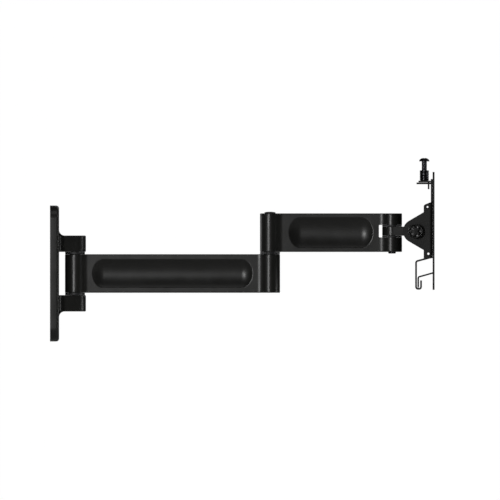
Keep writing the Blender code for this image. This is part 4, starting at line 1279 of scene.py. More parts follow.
    def holes(self, width: float, height: float) -> bpy.types.Mesh:
        """The screw holes, each with a seat for a washer on the front and a small chamfer.

        Args:
            width: The plate's width.
            height: The plate's height.

        Returns:
            The cutter.
        """
        face = self.thickness - self.seat_depth
        chamfer = self.hole_chamfer
        top = self.thickness + PAST
        profile = [(0, top), (self.seat + PAST + chamfer, top), (self.seat + chamfer, self.thickness)]
        profile += [(self.seat, self.thickness - chamfer), (self.seat, face), (self.hole + chamfer, face)]
        profile += [(self.hole, face - chamfer), (self.hole, -PAST), (0, -PAST)]
        pitch = (width / 2 - self.hole_side_margin, height - 2 * self.hole_margin)
        return laid(self.shop.copies(turned(profile), CAST_COAT, (3, 2), pitch), Lay.FRONT)

    def pin(self, outer: float) -> bpy.types.Mesh:
        """The bore through both ears, wide at each end for the pin's head and its nut.

        Args:
            outer: How high the ears' outer faces are.

        Returns:
            The cutter.
        """
        past = outer + PAST
        seat = outer - self.pin_seat_depth
        stretches = [(self.pin_head_room, seat), (self.pin_bore, -seat), (self.pin_head_room, -past)]
        return laid(stepped_bore(past, stretches), Lay.LEVEL, joint_place("wall_swivel"))


def softened_box(width: float, height: float, radius: float) -> Outline:
    """A rectangle with round corners as fine as any other arc.

    Args:
        width: Its width.
        height: Its height.
        radius: The radius of its corners.

    Returns:
        The outline, counter-clockwise.
    """
    right, top = width / 2 - radius, height / 2 - radius
    points: Outline = []
    for sign_x, sign_y, start in ((1, 1, 0), (-1, 1, 90), (-1, -1, 180), (1, -1, 270)):
        points += arc((sign_x * right, sign_y * top), radius, start, start + 90)
    return points


# ---- Turned pieces ---------------------------------------------------------------------------------------


@dataclass
class TurnedPieces:
    """Pins, nuts, bushes, washers and caps: everything round that the hinges are put together with."""

    shop: Workshop
    flange_edge: float = 0.12 * MM
    closing: float = 0.12 * MM  # how much thicker than the working part, so that no light shows past it
    pin_radius: float = 4.0 * MM
    pin_chamfer: float = 0.6 * MM
    socket_flats: float = 4.8 * MM
    head_height: float = 3.6 * MM
    thread_pitch: float = 1.25 * MM
    thread_depth: float = 0.45 * MM
    pin_thread: float = 6.0 * MM  # how far up from its foot a headed pin is threaded
    bush_wall: float = 1.5 * MM
    wall_flange: float = 2.0 * MM
    elbow_flange: float = 0.9 * MM
    head_pin_room: float = 3.95 * MM
    cap_chamfer: float = 0.5 * MM
    cap_edge: float = 0.2 * MM
    dome: float = 1.5 * MM
    dome_step: float = 0.3  # the share of the dome's height that its rim stands up straight
    dome_points: int = 12

    def build(self) -> None:
        """Makes every turned piece of the hinges."""
        self.bushes()
        self.pins()
        self.nuts()
        self.caps()

    def bushes(self) -> None:
        """The flanged bushes in the arms, and the plain washers of the head."""
        inner = self.pin_radius + RUN_GAP
        stem = inner + self.bush_wall
        for node, flange, facing, body, closing in (
            ("wall_bush_upper", self.wall_flange, 1, "inner", self.closing),
            ("wall_bush_lower", self.wall_flange, -1, "inner", self.closing),
            ("elbow_bush_lower", self.elbow_flange, 1, "inner", self.closing / 2),
            ("elbow_bush_upper", self.elbow_flange, -1, "outer", self.closing / 2),
        ):
            length = span(node, 2)
            outer, top, under = span(node, 0) / 2, length + closing, length - flange - self.closing
            corners = [(inner, top), (outer, top), (outer, under), (stem, under), (stem, 0.0), (inner, 0.0)]
            mesh = turned(softened(corners, self.flange_edge), True)
            laid(mesh, Lay.LEVEL if facing > 0 else Lay.UPSIDE_DOWN, stand(node, facing))
            self.shop.hand_over(mesh, node + "_moulding", body, NYLON, node)
        for node in ("head_washer_upper", "head_washer_lower"):
            thickness = span(node, 2) + 2 * self.closing
            profile = self.washer(span(node, 0) / 2, self.head_pin_room, thickness)
            mesh = laid(turned(profile, True), Lay.LEVEL, stand(node) - Vector((0, 0, self.closing)))
            self.shop.hand_over(mesh, node + "_disc", "swivel", NYLON, node)

    def washer(self, outer: float, inner: float, thickness: float) -> Outline:
        """The profile of a flat washer that stands on the XY plane."""
        corners = [(inner, thickness), (outer, thickness), (outer, 0.0), (inner, 0.0)]
        return softened(corners, self.flange_edge)

    def pins(self) -> None:
        """The three upright pins, threaded where their nuts sit."""
        self.headed("wall_pin", "wall")
        self.headed("elbow_pin", "inner")
        radius, length, cut = span("head_pin", 0) / 2, span("head_pin", 2), self.pin_chamfer
        profile = [(0, length), (radius - cut, length), (radius, length - cut), (radius, cut)]
        profile += [(radius - cut, 0), (0, 0)]
        ends = (length - self.pin_thread, length + 2 * MM)
        mesh = self.shop.threaded(
            profile, UPRIGHT_STEEL, radius, self.thread_pitch, self.thread_depth, ends
        )
        laid(mesh, Lay.LEVEL, stand("head_pin"))
        self.shop.hand_over(mesh, "head_pin_steel", "outer", UPRIGHT_STEEL, "head_pin")

    def headed(self, node: str, body: str) -> None:
        """A pin with a round head and a hexagon socket in it.

        Args:
            node: The working solid that it stands for.
            body: The body that it rides on.
        """
        radius, head, length = self.pin_radius, span(node, 0) / 2, span(node, 2)
        under = length - self.head_height
        cut = self.pin_chamfer
        profile = socket_pin(length, head, under, radius, cut, 0.3)
        ends = (-2 * MM, self.pin_thread)
        mesh = self.shop.threaded(
            profile, UPRIGHT_STEEL, radius, self.thread_pitch, self.thread_depth, ends
        )
        depth = 0.6 * self.head_height
        socket = laid(cut_flat([hexagon(self.socket_flats)], 2 * depth), Lay.LEVEL, (0, 0, length))
        mesh = laid(carved(mesh, less=[socket]), Lay.LEVEL, stand(node))
        self.shop.hand_over(mesh, node + "_steel", body, UPRIGHT_STEEL, node)

    def nuts(self) -> None:
        """The hexagon nuts, with the round chamfer that nuts have on their corners."""
        wide = self.pin_radius + RUN_GAP
        for node, body, bore in (
            ("wall_pin_nut", "wall", wide),
            ("elbow_pin_nut", "inner", wide),
            ("head_pin_nut", "outer", self.head_pin_room),
        ):
            mesh = laid(hex_nut(span(node, 1), span(node, 2), bore), Lay.LEVEL, stand(node))
            self.shop.hand_over(mesh, node + "_steel", body, UPRIGHT_STEEL, node)

    def caps(self) -> None:
        """The plugs over the ends of the wall pin, and the domed cap on the elbow."""
        for node, lay, up in (("wall_cap_upper", Lay.LEVEL, 1), ("wall_cap_lower", Lay.UPSIDE_DOWN, -1)):
            radius, length, cut = span(node, 0) / 2, span(node, 2), self.cap_chamfer
            corners = [(0, length), (radius - cut, length), (radius, length - cut), (radius, 0), (0, 0)]
            mesh = laid(turned(softened(corners, self.cap_edge, closed=False)), lay, stand(node, up))
            self.shop.hand_over(mesh, node + "_plug", "wall", BLACK_PLASTIC, node)
        radius, length = span("elbow_cap", 0) / 2, span("elbow_cap", 2)
        base, plug = length - self.dome, radius - REST_GAP
        angles = [math.pi / 2 * i / self.dome_points for i in range(1, self.dome_points + 1)]
        rise = [self.dome_step + (1 - self.dome_step) * math.cos(a) for a in angles]
        crown = [(radius * math.sin(a), base + self.dome * share) for a, share in zip(angles, rise)]
        profile = [(0, length)] + crown + [(radius, base), (plug, base), (plug, 0), (0, 0)]
        mesh = laid(turned(profile), Lay.LEVEL, stand("elbow_cap"))
        self.shop.hand_over(mesh, "elbow_cap_dome", "outer", BLACK_PLASTIC, "elbow_cap")


def socket_pin(
    length: float, head: float, under: float, shank: float, cut: float, under_share: float
) -> Outline:
    """The profile of a headed pin that stands on its foot.

    Args:
        length: The pin's length.
        head: The head's radius.
        under: The height of the head's underside.
        shank: The shank's radius.
        cut: The chamfer of the head's top and of the foot.
        under_share: The share of that chamfer that the head's underside has.

    Returns:
        The profile, down its outer side.
    """
    small = under_share * cut
    profile = [(0, length), (head - cut, length), (head - 0.2 * cut, length - 0.3 * cut)]
    profile += [(head, length - cut), (head, under + small), (head - small, under), (shank, under)]
    return profile + [(shank, cut), (shank - cut, 0), (0, 0)]


def hex_nut(flats: float, height: float, bore: float) -> bpy.types.Mesh:
    """A hexagon nut that stands on the XY plane.

    Args:
        flats: Its width across the flats.
        height: Its height.
        bore: The radius of its hole.

    Returns:
        The nut, with chamfered corners and a countersunk hole.
    """
    corner = flats / 2 / math.cos(math.pi / 6)
    slope = math.tan(math.radians(30))
    drop = (corner - flats / 2) * slope
    wide, mouth = corner + PAST, bore + NUT_MOUTH
    prism = laid(cut_flat([hexagon(flats)], height), Lay.LEVEL, (0, 0, height / 2))
    hole = [(0.0, height + PAST), (mouth + PAST, height + PAST), (bore, height - NUT_MOUTH)]
    hole += [(bore, NUT_MOUTH), (mouth + PAST, -PAST), (0.0, -PAST)]
    cuts = [turned(hole)]
    for face, way in ((height, 1), (0.0, -1)):
        inner = (flats / 2 - PAST, face + way * slope * PAST)
        outer = (wide, face - way * (drop + slope * PAST))
        cuts.append(turned([inner, outer, (wide, face + way * PAST)], True))
    return carved(prism, less=cuts)


# ---- Swivel block ----------------------------------------------------------------------------------------


@dataclass
class SwivelBlock:
    """The cast block between fork and bracket: an upright knuckle, a neck, and a level cross barrel."""

    shop: Workshop
    knuckle: float = 9.8 * MM
    knuckle_height: float = 9.2 * MM
    barrel: float = 9.2 * MM
    barrel_width: float = 38.0 * MM
    neck_width: float = 19.4 * MM
    edge: float = 0.6 * MM
    shave: float = 0.03 * MM
    knuckle_bore: float = 3.95 * MM
    cross_bore: float = 3.15 * MM

    def build(self) -> None:
        """Makes the block."""
        head, tilt = joint_place("head_swivel"), joint_place("tilt")
        knuckle = laid(self.drum(self.knuckle, self.knuckle_height), Lay.LEVEL, head)
        barrel = laid(self.drum(self.barrel, self.barrel_width), Lay.SIDE, tilt)
        length = tilt.x - head.x
        outline = block(length, self.neck_width)
        neck = cut_flat([outline], self.knuckle_height - 2 * self.shave, self.edge)
        laid(neck, Lay.LEVEL, (head + tilt) / 2)
        bores = [
            laid(stepped_bore(self.knuckle, [(self.knuckle_bore, -self.knuckle)]), Lay.LEVEL, head),
            laid(stepped_bore(self.barrel_width, [(self.cross_bore, -self.barrel_width)]), Lay.SIDE, tilt),
        ]
        mesh = carved(knuckle, less=bores, plus=[neck, barrel])
        self.shop.hand_over(mesh, "swivel_block_casting", "swivel", CAST_COAT, "swivel_block")

    def drum(self, radius: float, width: float) -> bpy.types.Mesh:
        """A short cylinder with round edges, centred on the origin.

        Args:
            radius: Its radius.
            width: Its length.

        Returns:
            The cylinder, about Z.
        """
        half = width / 2
        corners = [(0, half), (radius, half), (radius, -half), (0, -half)]
        return turned(softened(corners, self.edge, closed=False))


# ---- Folded sheet ----------------------------------------------------------------------------------------


@dataclass
class FoldLine:
    """The line that a strip of sheet follows in side view, as straights joined by arcs.

    A place on the strip is given by how far along the line it is and how far off its middle.
    """

    corners: Sequence[Point]
    radius: float

    def __post_init__(self) -> None:
        """Works out the straights and the arcs, each as (start, length, point, direction, turn)."""
        self.runs: list[tuple[float, float, Vector, float, float]] = []
        points = [Vector(corner) for corner in self.corners]
        along, here = 0.0, points[0]
        for before, corner, after in zip(points, points[1:], points[2:]):
            way, onward = (corner - before).normalized(), (after - corner).normalized()
            turn = math.atan2(way.x * onward.y - way.y * onward.x, way.dot(onward))
            trim = self.radius * math.tan(abs(turn) / 2)
            length = (corner - here).length - trim
            heading = math.atan2(way.y, way.x)
            self.runs.append((along, length, here, heading, 0.0))
            along += length
            bend = self.radius * abs(turn)
            self.runs.append((along, bend, corner - way * trim, heading, turn))
            along += bend
            here = corner + onward * trim
        way = points[-1] - here
        self.runs.append((along, way.length, here, math.atan2(way.y, way.x), 0.0))
        self.length = along + way.length

    def at(self, along: float, off: float) -> Point:
        """A point of the strip.

        Args:
            along: How far along the line it is.
            off: How far to the left of the line's direction it is.

        Returns:
            Its place in side view.
        """
        start, length, point, heading, turn = next(
            (run for run in reversed(self.runs) if along >= run[0]), self.runs[0]
        )
        if turn:
            side = math.copysign(1.0, turn)
            now = heading + turn * (along - start) / length
            centre = point + side * self.radius * Vector((-math.sin(heading), math.cos(heading)))
            reach = self.radius - side * off
            return (centre.x + side * reach * math.sin(now), centre.y - side * reach * math.cos(now))
        spot = point + (along - start) * Vector((math.cos(heading), math.sin(heading)))
        return (spot.x - off * math.sin(heading), spot.y + off * math.cos(heading))

    def stations(self) -> list[float]:
        """Where the flat sheet is scored so that its bends come out round.

        Returns:
            How far along the line each score is.
        """
        marks = []
        for start, length, _, _, turn in self.runs:
            if turn:
                steps = max(3, math.ceil(abs(turn) / math.radians(9)))
                marks += [start + length * i / steps for i in range(steps + 1)]
        return marks


def scored(mesh: bpy.types.Mesh, lines: Sequence[tuple[int, float]]) -> bpy.types.Mesh:
    """Scores a flat mesh along lines, so that it can be bent there.

    Args:
        mesh: The flat mesh.
        lines: Each line as the axis that it crosses, 0 or 1, and where it crosses it.

    Returns:
        The same mesh, with edges along every line.
    """
    edit = bmesh.new()
    edit.from_mesh(mesh)
    for axis, place in lines:
        point, normal = Vector((0, 0, 0)), Vector((0, 0, 0))
        point[axis], normal[axis] = place, 1.0
        everything = edit.verts[:] + edit.edges[:] + edit.faces[:]
        bmesh.ops.bisect_plane(edit, geom=everything, dist=1e-7, plane_co=point, plane_no=normal)
    edit.to_mesh(mesh)
    edit.free()
    return mesh


def bent(mesh: bpy.types.Mesh, rule: Callable[[Vector], Sequence[float]]) -> bpy.types.Mesh:
    """Moves every point of a mesh by a rule, and returns it.

    Args:
        mesh: The mesh.
        rule: Gives each point its new place.

    Returns:
        The same mesh.
    """
    for vertex in mesh.vertices:
        vertex.co = rule(vertex.co)
    mesh.update()
    return mesh


@dataclass
class TiltBracket:
    """The bracket that tilts: a tall web, two cheeks folded back, a flange, and a strap with a hook."""

    shop: Workshop
    sheet: float = 1.8 * MM
    edge: float = 0.3 * MM
    web_x: float = 16.7 * MM
    web_top: float = 52.2 * MM
    web_half: float = 21.5 * MM
    bend: float = 2.1 * MM
    bend_start: float = 19.1 * MM
    nose: float = 12.0 * MM
    back: float = 8.7 * MM
    shoulder: float = 19.0 * MM
    crown_x: float = 11.2 * MM
    crown_z: float = 24.5 * MM
    crown: float = 2.5 * MM
    cheek_top: float = 29.1 * MM
    cheek_foot: float = 29.0 * MM
    web_foot: float = 26.9 * MM
    relief: float = 0.7 * MM
    relief_height: float = 3.2 * MM
    fall: float = 0.5 * MM  # how much a cheek's top and foot drop back across its fold
    bolt_hole: float = 3.15 * MM
    strap_half: float = 10.0 * MM
    strap_bend: float = 2.0 * MM
    strap_slope: float = math.radians(15)
    leg_x: float = 1.05 * MM
    leg_top: float = -30.2 * MM
    hook_foot: float = -57.65 * MM
    hook_x: float = 6.05 * MM
    hook_lip: float = 8.4 * MM
    flange_tip: float = 1.5 * MM
    flange_top: float = 48.7 * MM
    flange_half: float = 18.1 * MM
    window_half: float = 14.8 * MM
    window_top: float = 50.75 * MM
    notch_z: float = 35.8 * MM
    notch: Point = (1.6 * MM, 1.4 * MM)
    pips: Sequence[tuple[float, float, float]] = (
        (12.5 * MM, 24.2 * MM, 0.9 * MM),
        (13.4 * MM, -22.6 * MM, 1.1 * MM),
    )
    lip_slot: tuple[float, float, float] = (13.6 * MM, 7.3 * MM, 1.1 * MM)
    screw_place: Point = (9.3 * MM, 9.0 * MM)
    screw_hole: float = 2.7 * MM

    def build(self) -> None:
        """Makes the bracket: cut flat, scored, folded, and its flange joined on."""
        line = self.line()
        flat = cut_flat(self.pattern(line), self.sheet, self.edge)
        fold_at = [self.web_top - s for s in line.stations()]
        turns = [self.bend_start + self.bend * math.pi / 2 * i / 10 for i in range(11)]
        lines = [(1, v) for v in fold_at] + [(0, side * u) for u in turns for side in (-1, 1)]
        mesh = bent(scored(flat, lines), lambda at: self.folded(at, line))
        mesh = carved(tidied(mesh), plus=[self.flange()])
        laid(mesh, Lay.LEVEL, joint_place("tilt"))
        self.shop.hand_over(mesh, "tilt_bracket_sheet", "head", SHEET_COAT, "tilt_bracket")

    def line(self) -> FoldLine:
        """The line of the web and the strap, from the web's top down and round the hook.

        Returns:
            The line, in side view from the tilt axis.
        """
        knee = self.leg_top + (self.web_x - self.leg_x) * math.tan(self.strap_slope)
        corners = [(self.web_x, self.web_top), (self.web_x, knee), (self.leg_x, self.leg_top)]
        corners += [(self.leg_x, self.hook_foot), (self.hook_x, self.hook_foot)]
        corners += [(self.hook_x, self.hook_foot + self.hook_lip)]
        return FoldLine(corners, self.strap_bend)

    def across(self, x: float) -> float:
        """Where on the flat pattern a cheek's point lies that is folded to a distance from the tilt axis."""
        start = self.bend_start + self.bend * math.pi / 2
        return start + (self.web_x - self.bend) - x

    def pattern(self, line: FoldLine) -> list[Outline]:
        """The flat pattern: its outline, and then its holes.

        Args:
            line: The line of the web and the strap.

        Returns:
            The outlines.
        """
        axis = self.across(0.0)
        back = self.across(self.back)
        touch = tangent_angle((axis, 0), self.nose, (back, self.shoulder), 1)
        strap_end = self.web_top - line.length
        relief_top = -self.web_foot + self.relief_height
        notch_in, notch_high = self.notch
        bend_end = self.across(self.web_x - self.bend)
        slit = self.strap_half + self.relief
        right = [(self.strap_half, strap_end), (self.strap_half, relief_top), (slit, relief_top)]
        right += [(slit, -self.web_foot), (self.bend_start, -self.web_foot)]
        right += [(bend_end, -self.web_foot - self.fall), (back, -self.cheek_foot), (back, -self.shoulder)]
        right += arc((axis, 0), self.nose, -touch, touch)
        right += [(back, self.shoulder)]
        right += arc((self.across(self.crown_x), self.crown_z), self.crown, 0, 70)
        above, notch_floor = self.cheek_top + self.relief, self.web_half - notch_in
        notch_low, notch_top = self.notch_z - notch_high / 2, self.notch_z + notch_high / 2
        right += [(bend_end, self.cheek_top - self.fall), (self.bend_start, self.cheek_top)]
        right += [(self.bend_start, above), (self.web_half, above), (self.web_half, notch_low)]
        right += [(notch_floor, notch_low), (notch_floor, notch_top), (self.web_half, notch_top)]
        right += [(self.web_half, self.web_top)]
        outline = right + [(-u, v) for u, v in reversed(right)]
        middle = (0, (self.window_top + self.flange_top) / 2)
        window = block(2 * self.window_half, self.window_top - self.flange_top, middle)
        holes = [softened(window, self.edge)]
        for side in (-1, 1):
            holes.append(circle((side * axis, 0), self.bolt_hole))
            holes += [circle((side * self.across(x), z), radius) for x, z, radius in self.pips]
        return [outline] + holes

    def folded(self, at: Vector, line: FoldLine) -> tuple[float, float, float]:
        """Where a point of the flat pattern goes when the sheet is folded.

        Args:
            at: The point: across the sheet, along it, and through its thickness.
            line: The line of the web and the strap.

        Returns:
            Its place, measured from the tilt axis.
        """
        u, v, w = at
        side = math.copysign(1.0, u)
        past = abs(u) - self.bend_start
        if past > 0 and -self.cheek_foot - PAST < v < self.cheek_top + self.relief / 2:
            quarter = self.bend * math.pi / 2
            turn = min(past / self.bend, math.pi / 2)
            reach = self.bend + w
            x = self.web_x - self.bend + reach * math.cos(turn) - max(0.0, past - quarter)
            y = self.bend_start + reach * math.sin(turn)
            return (x, side * y, v)
        x, z = line.at(self.web_top - v, w)
        return (x, u, z)

    def flange(self) -> bpy.types.Mesh:
        """The level flange behind the web's top, with the screw holes and a slot for the tab's lip.

        Returns:
            The flange, measured from the tilt axis.
        """
        lip_x, lip_half, slot_half = self.lip_slot
        depth = self.web_x - self.flange_tip
        middle = self.flange_tip + depth / 2
        outline = softened(block(depth, 2 * self.flange_half, (middle, 0)), 1.5 * MM)
        slot = softened(block(2 * slot_half, 2 * lip_half, (lip_x, 0)), 0.4 * MM)
        x, y = self.screw_place
        holes = [circle((x, side * y), self.screw_hole) for side in (-1, 1)]
        plate = cut_flat([outline, slot] + holes, self.sheet, self.edge)
        return laid(plate, Lay.LEVEL, (0, 0, self.flange_top - self.sheet / 2))


@dataclass
class ScreenPlate:
    """The square plate that bolts to a screen, with a folded tab at its top and a tongue at its foot."""

    shop: Workshop
    sheet: float = 1.94 * MM  # 0.14 mm more than the working part, which closes the slit behind the plate
    thin: float = 1.6 * MM
    edge: float = 0.3 * MM
    middle_x: float = 18.58 * MM
    size: float = 118.0 * MM
    rise: float = 0.25 * MM
    corner: float = 9.0 * MM
    pitches: Sequence[float] = (100.0 * MM, 75.0 * MM)
    hole: float = 2.5 * MM
    window: Point = (15.0 * MM, 36.0 * MM)
    window_out: float = 38.0 * MM
    tab_half: float = 14.5 * MM
    tab_z: float = 49.65 * MM
    tab_tip: float = 3.4 * MM
    tongue_half: float = 9.4 * MM
    tongue_gap_half: float = 10.3 * MM
    tongue_root: float = -41.6 * MM
    tongue_knee: Point = (3.25 * MM, -45.9 * MM)
    tongue_foot: float = -56.5 * MM
    bend: float = 1.6 * MM
    notch_z: float = 35.8 * MM
    notch: Point = (1.6 * MM, 1.4 * MM)
    lip_x: float = 13.6 * MM
    lip_half: float = 7.0 * MM
    lip_foot: float = 41.9 * MM
    screw_place: Point = (9.3 * MM, 9.0 * MM)
    screw_hole: float = 3.72 * MM

    def build(self) -> None:
        """Makes the plate: cut flat with its holes, scored, folded, and the tab's lip joined on."""
        corners = [(self.middle_x, 0.0), (self.middle_x, self.tab_z), (self.tab_tip, self.tab_z)]
        up = FoldLine(corners, self.bend)
        knee = self.tongue_knee
        corners = [(self.middle_x, 0.0), (self.middle_x, self.tongue_root), knee]
        corners.append((knee[0], self.tongue_foot))
        down = FoldLine(corners, self.bend)
        flat = carved(cut_flat([self.outline(up, down)], self.sheet, self.edge), less=self.punches(up))
        lines = [(1, s) for s in up.stations()] + [(1, -s) for s in down.stations()]
        mesh = bent(scored(flat, lines), lambda at: self.folded(at, up, down))
        lip = cut_flat([block(2 * self.lip_half, self.tab_z - self.lip_foot)], self.thin, self.edge)
        laid(lip, Lay.FRONT, (self.lip_x, 0, (self.tab_z + self.lip_foot) / 2))
        mesh = carved(tidied(mesh), plus=[lip])
        laid(mesh, Lay.LEVEL, joint_place("tilt"))
        self.shop.hand_over(mesh, "screen_plate_sheet", "head", SHEET_COAT, "screen_plate")

    def outline(self, up: FoldLine, down: FoldLine) -> Outline:
        """The flat pattern's outline, with slits beside the tab and the tongue.

        Args:
            up: The line of the tab.
            down: The line of the tongue.

        Returns:
            The outline.
        """
        half = self.size / 2
        low, high = self.rise - half, self.rise + half
        inner = half - self.corner
        tab_gap = self.tab_half + REST_GAP
        tab_root = up.runs[1][0] - 0.2 * MM
        tongue_root = -down.runs[1][0] + 0.2 * MM
        points = arc((inner, high - self.corner), self.corner, 0, 90)
        points += [(tab_gap, high), (tab_gap, tab_root), (self.tab_half, tab_root)]
        points += [(self.tab_half, up.length), (-self.tab_half, up.length)]
        points += [(-self.tab_half, tab_root), (-tab_gap, tab_root), (-tab_gap, high)]
        points += arc((-inner, high - self.corner), self.corner, 90, 180)
        points += arc((-inner, low + self.corner), self.corner, 180, 270)
        points += [(-self.tongue_gap_half, low), (-self.tongue_gap_half, tongue_root)]
        points += [(-self.tongue_half, tongue_root), (-self.tongue_half, -down.length)]
        points += [(self.tongue_half, -down.length), (self.tongue_half, tongue_root)]
        points += [(self.tongue_gap_half, tongue_root), (self.tongue_gap_half, low)]
        return points + arc((inner, low + self.corner), self.corner, 270, 360)

    def punches(self, up: FoldLine) -> list[bpy.types.Mesh]:
        """What is punched out of the flat sheet: screw squares, windows, side notches and collar seats.

        Args:
            up: The line of the tab.

        Returns:
            A cutter for each pattern of holes.
        """
        tools = []
        deep = 4 * self.sheet
        for pitch in self.pitches:
            hole = stepped_bore(deep, [(self.hole, -deep)])
            squares = self.shop.copies(hole, SHEET_COAT, (2, 2), (pitch, pitch))
            tools.append(laid(squares, Lay.LEVEL, (0, self.rise, 0)))
        width, height = self.window
        window = cut_flat([softened_box(width, height, width / 3)], deep)
        notch_in, notch_high = self.notch
        notch = cut_flat([softened(block(2 * notch_in, notch_high), self.edge)], deep)
        x, y = self.screw_place
        seat = stepped_bore(deep, [(self.screw_hole, -deep)])
        for shape, pitch, height in (
            (window, 2 * self.window_out, self.rise),
            (notch, self.size, self.notch_z),
            (seat, 2 * y, up.length - (x - self.tab_tip)),
        ):
            pair = self.shop.copies(shape, SHEET_COAT, (2, 1), (pitch, 0.0))
            tools.append(laid(pair, Lay.LEVEL, (0, height, 0)))
        return tools

    def folded(self, at: Vector, up: FoldLine, down: FoldLine) -> tuple[float, float, float]:
        """Where a point of the flat plate goes when the tab and the tongue are folded back.

        Args:
            at: The point: across the plate, up it, and through its thickness.
            up: The line of the tab.
            down: The line of the tongue.

        Returns:
            Its place, measured from the tilt axis.
        """
        u, v, w = at
        for line, along, half, side in ((up, v, self.tab_half, -1), (down, -v, self.tongue_half, 1)):
            start = line.runs[1][0]
            if along > start and abs(u) <= half + REST_GAP / 2:
                share = min(1.0, (along - start) / line.runs[1][1])
                thickness = w * (1 + (self.thin / self.sheet - 1) * share)
                x, z = line.at(along, side * thickness)
                return (x, u, z)
        return (self.middle_x + w, u, v)


# ---- Screws, bolt and knob -------------------------------------------------------------------------------


@dataclass
class LockScrews:
    """The two captive screws on the tab, raised, and the collars that hold them."""

    shop: Workshop
    shank: float = 2.55 * MM
    head: float = 5.1 * MM
    head_height: float = 3.6 * MM
    edge: float = 0.35 * MM
    pitch: float = 0.8 * MM
    depth: float = 0.3 * MM
    thread_length: float = 9.0 * MM
    recess: tuple[float, float, float] = (2.4 * MM, 0.55 * MM, 1.7 * MM)
    slot_corner: float = 0.3 * MM
    groove: Point = (0.3 * MM, 0.35 * MM)  # how deep a grip groove is, and half its height
    collar_wall: float = 0.9 * MM
    stem_height: float = 1.75 * MM
    grooves: int = 3

    def build(self) -> None:
        """Makes both screws and both collars."""
        for word in ("left", "right"):
            self.screw(word)
            self.collar(word)

    def screw(self, word: str) -> None:
        """A pan-head screw with a cross recess and a thread on its lower half.

        Args:
            word: left or right.
        """
        node = "lock_screw_" + word
        length = span(node, 2)
        under = length - self.head_height
        crown = [
            (self.head * math.sin(a), under + self.edge + (self.head_height - self.edge) * math.cos(a))
            for a in (math.radians(5 * i) for i in range(1, 19))
        ]
        foot = [(self.head, under + 0.1 * MM), (self.head - 0.1 * MM, under), (self.shank, under)]
        tip = [(self.shank, self.edge), (self.shank - self.edge, 0.0), (0.0, 0.0)]
        profile = [(0.0, length)] + crown + foot + tip
        ends = (-self.pitch, self.thread_length)
        mesh = self.shop.threaded(profile, UPRIGHT_STEEL, self.shank, self.pitch, self.depth, ends)
        mesh = laid(carved(mesh, less=self.cross(length)), Lay.LEVEL, stand(node))
        self.shop.hand_over(mesh, node + "_steel", "screw_" + word, UPRIGHT_STEEL, node)

    def cross(self, top: float) -> list[bpy.types.Mesh]:
        """The two crossed slots of the recess in a screw's head.

        Args:
            top: The height of the head's crown.

        Returns:
            A cutter for each slot.
        """
        reach, half, deep = self.recess
        outline = softened(block(2 * reach, 2 * half), self.slot_corner)
        slot = laid(cut_flat([outline], 2 * deep), Lay.LEVEL, (0, 0, top))
        other = slot.copy()
        other.transform(Matrix.Rotation(math.pi / 2, 4, "Z"))
        return [slot, other]

    def collar(self, word: str) -> None:
        """A turned collar with shallow grip grooves, pressed into the tab by its stem.

        Args:
            word: left or right.
        """
        node = "screw_collar_" + word
        radius, length = span(node, 0) / 2, span(node, 2)
        inner = self.shank + RUN_GAP
        stem = inner + self.collar_wall
        body = length - self.stem_height
        deep, high = self.groove
        corners = [(inner, length), (radius, length)]
        for i in range(self.grooves):
            z = length - body * (i + 1) / (self.grooves + 1)
            corners += [(radius, z + high), (radius - deep, z), (radius, z - high)]
        corners += [(radius, self.stem_height), (stem, self.stem_height), (stem, 0.0), (inner, 0.0)]
        mesh = laid(turned(softened(corners, self.edge), True), Lay.LEVEL, stand(node))
        self.shop.hand_over(mesh, node + "_steel", "head", UPRIGHT_STEEL, node)


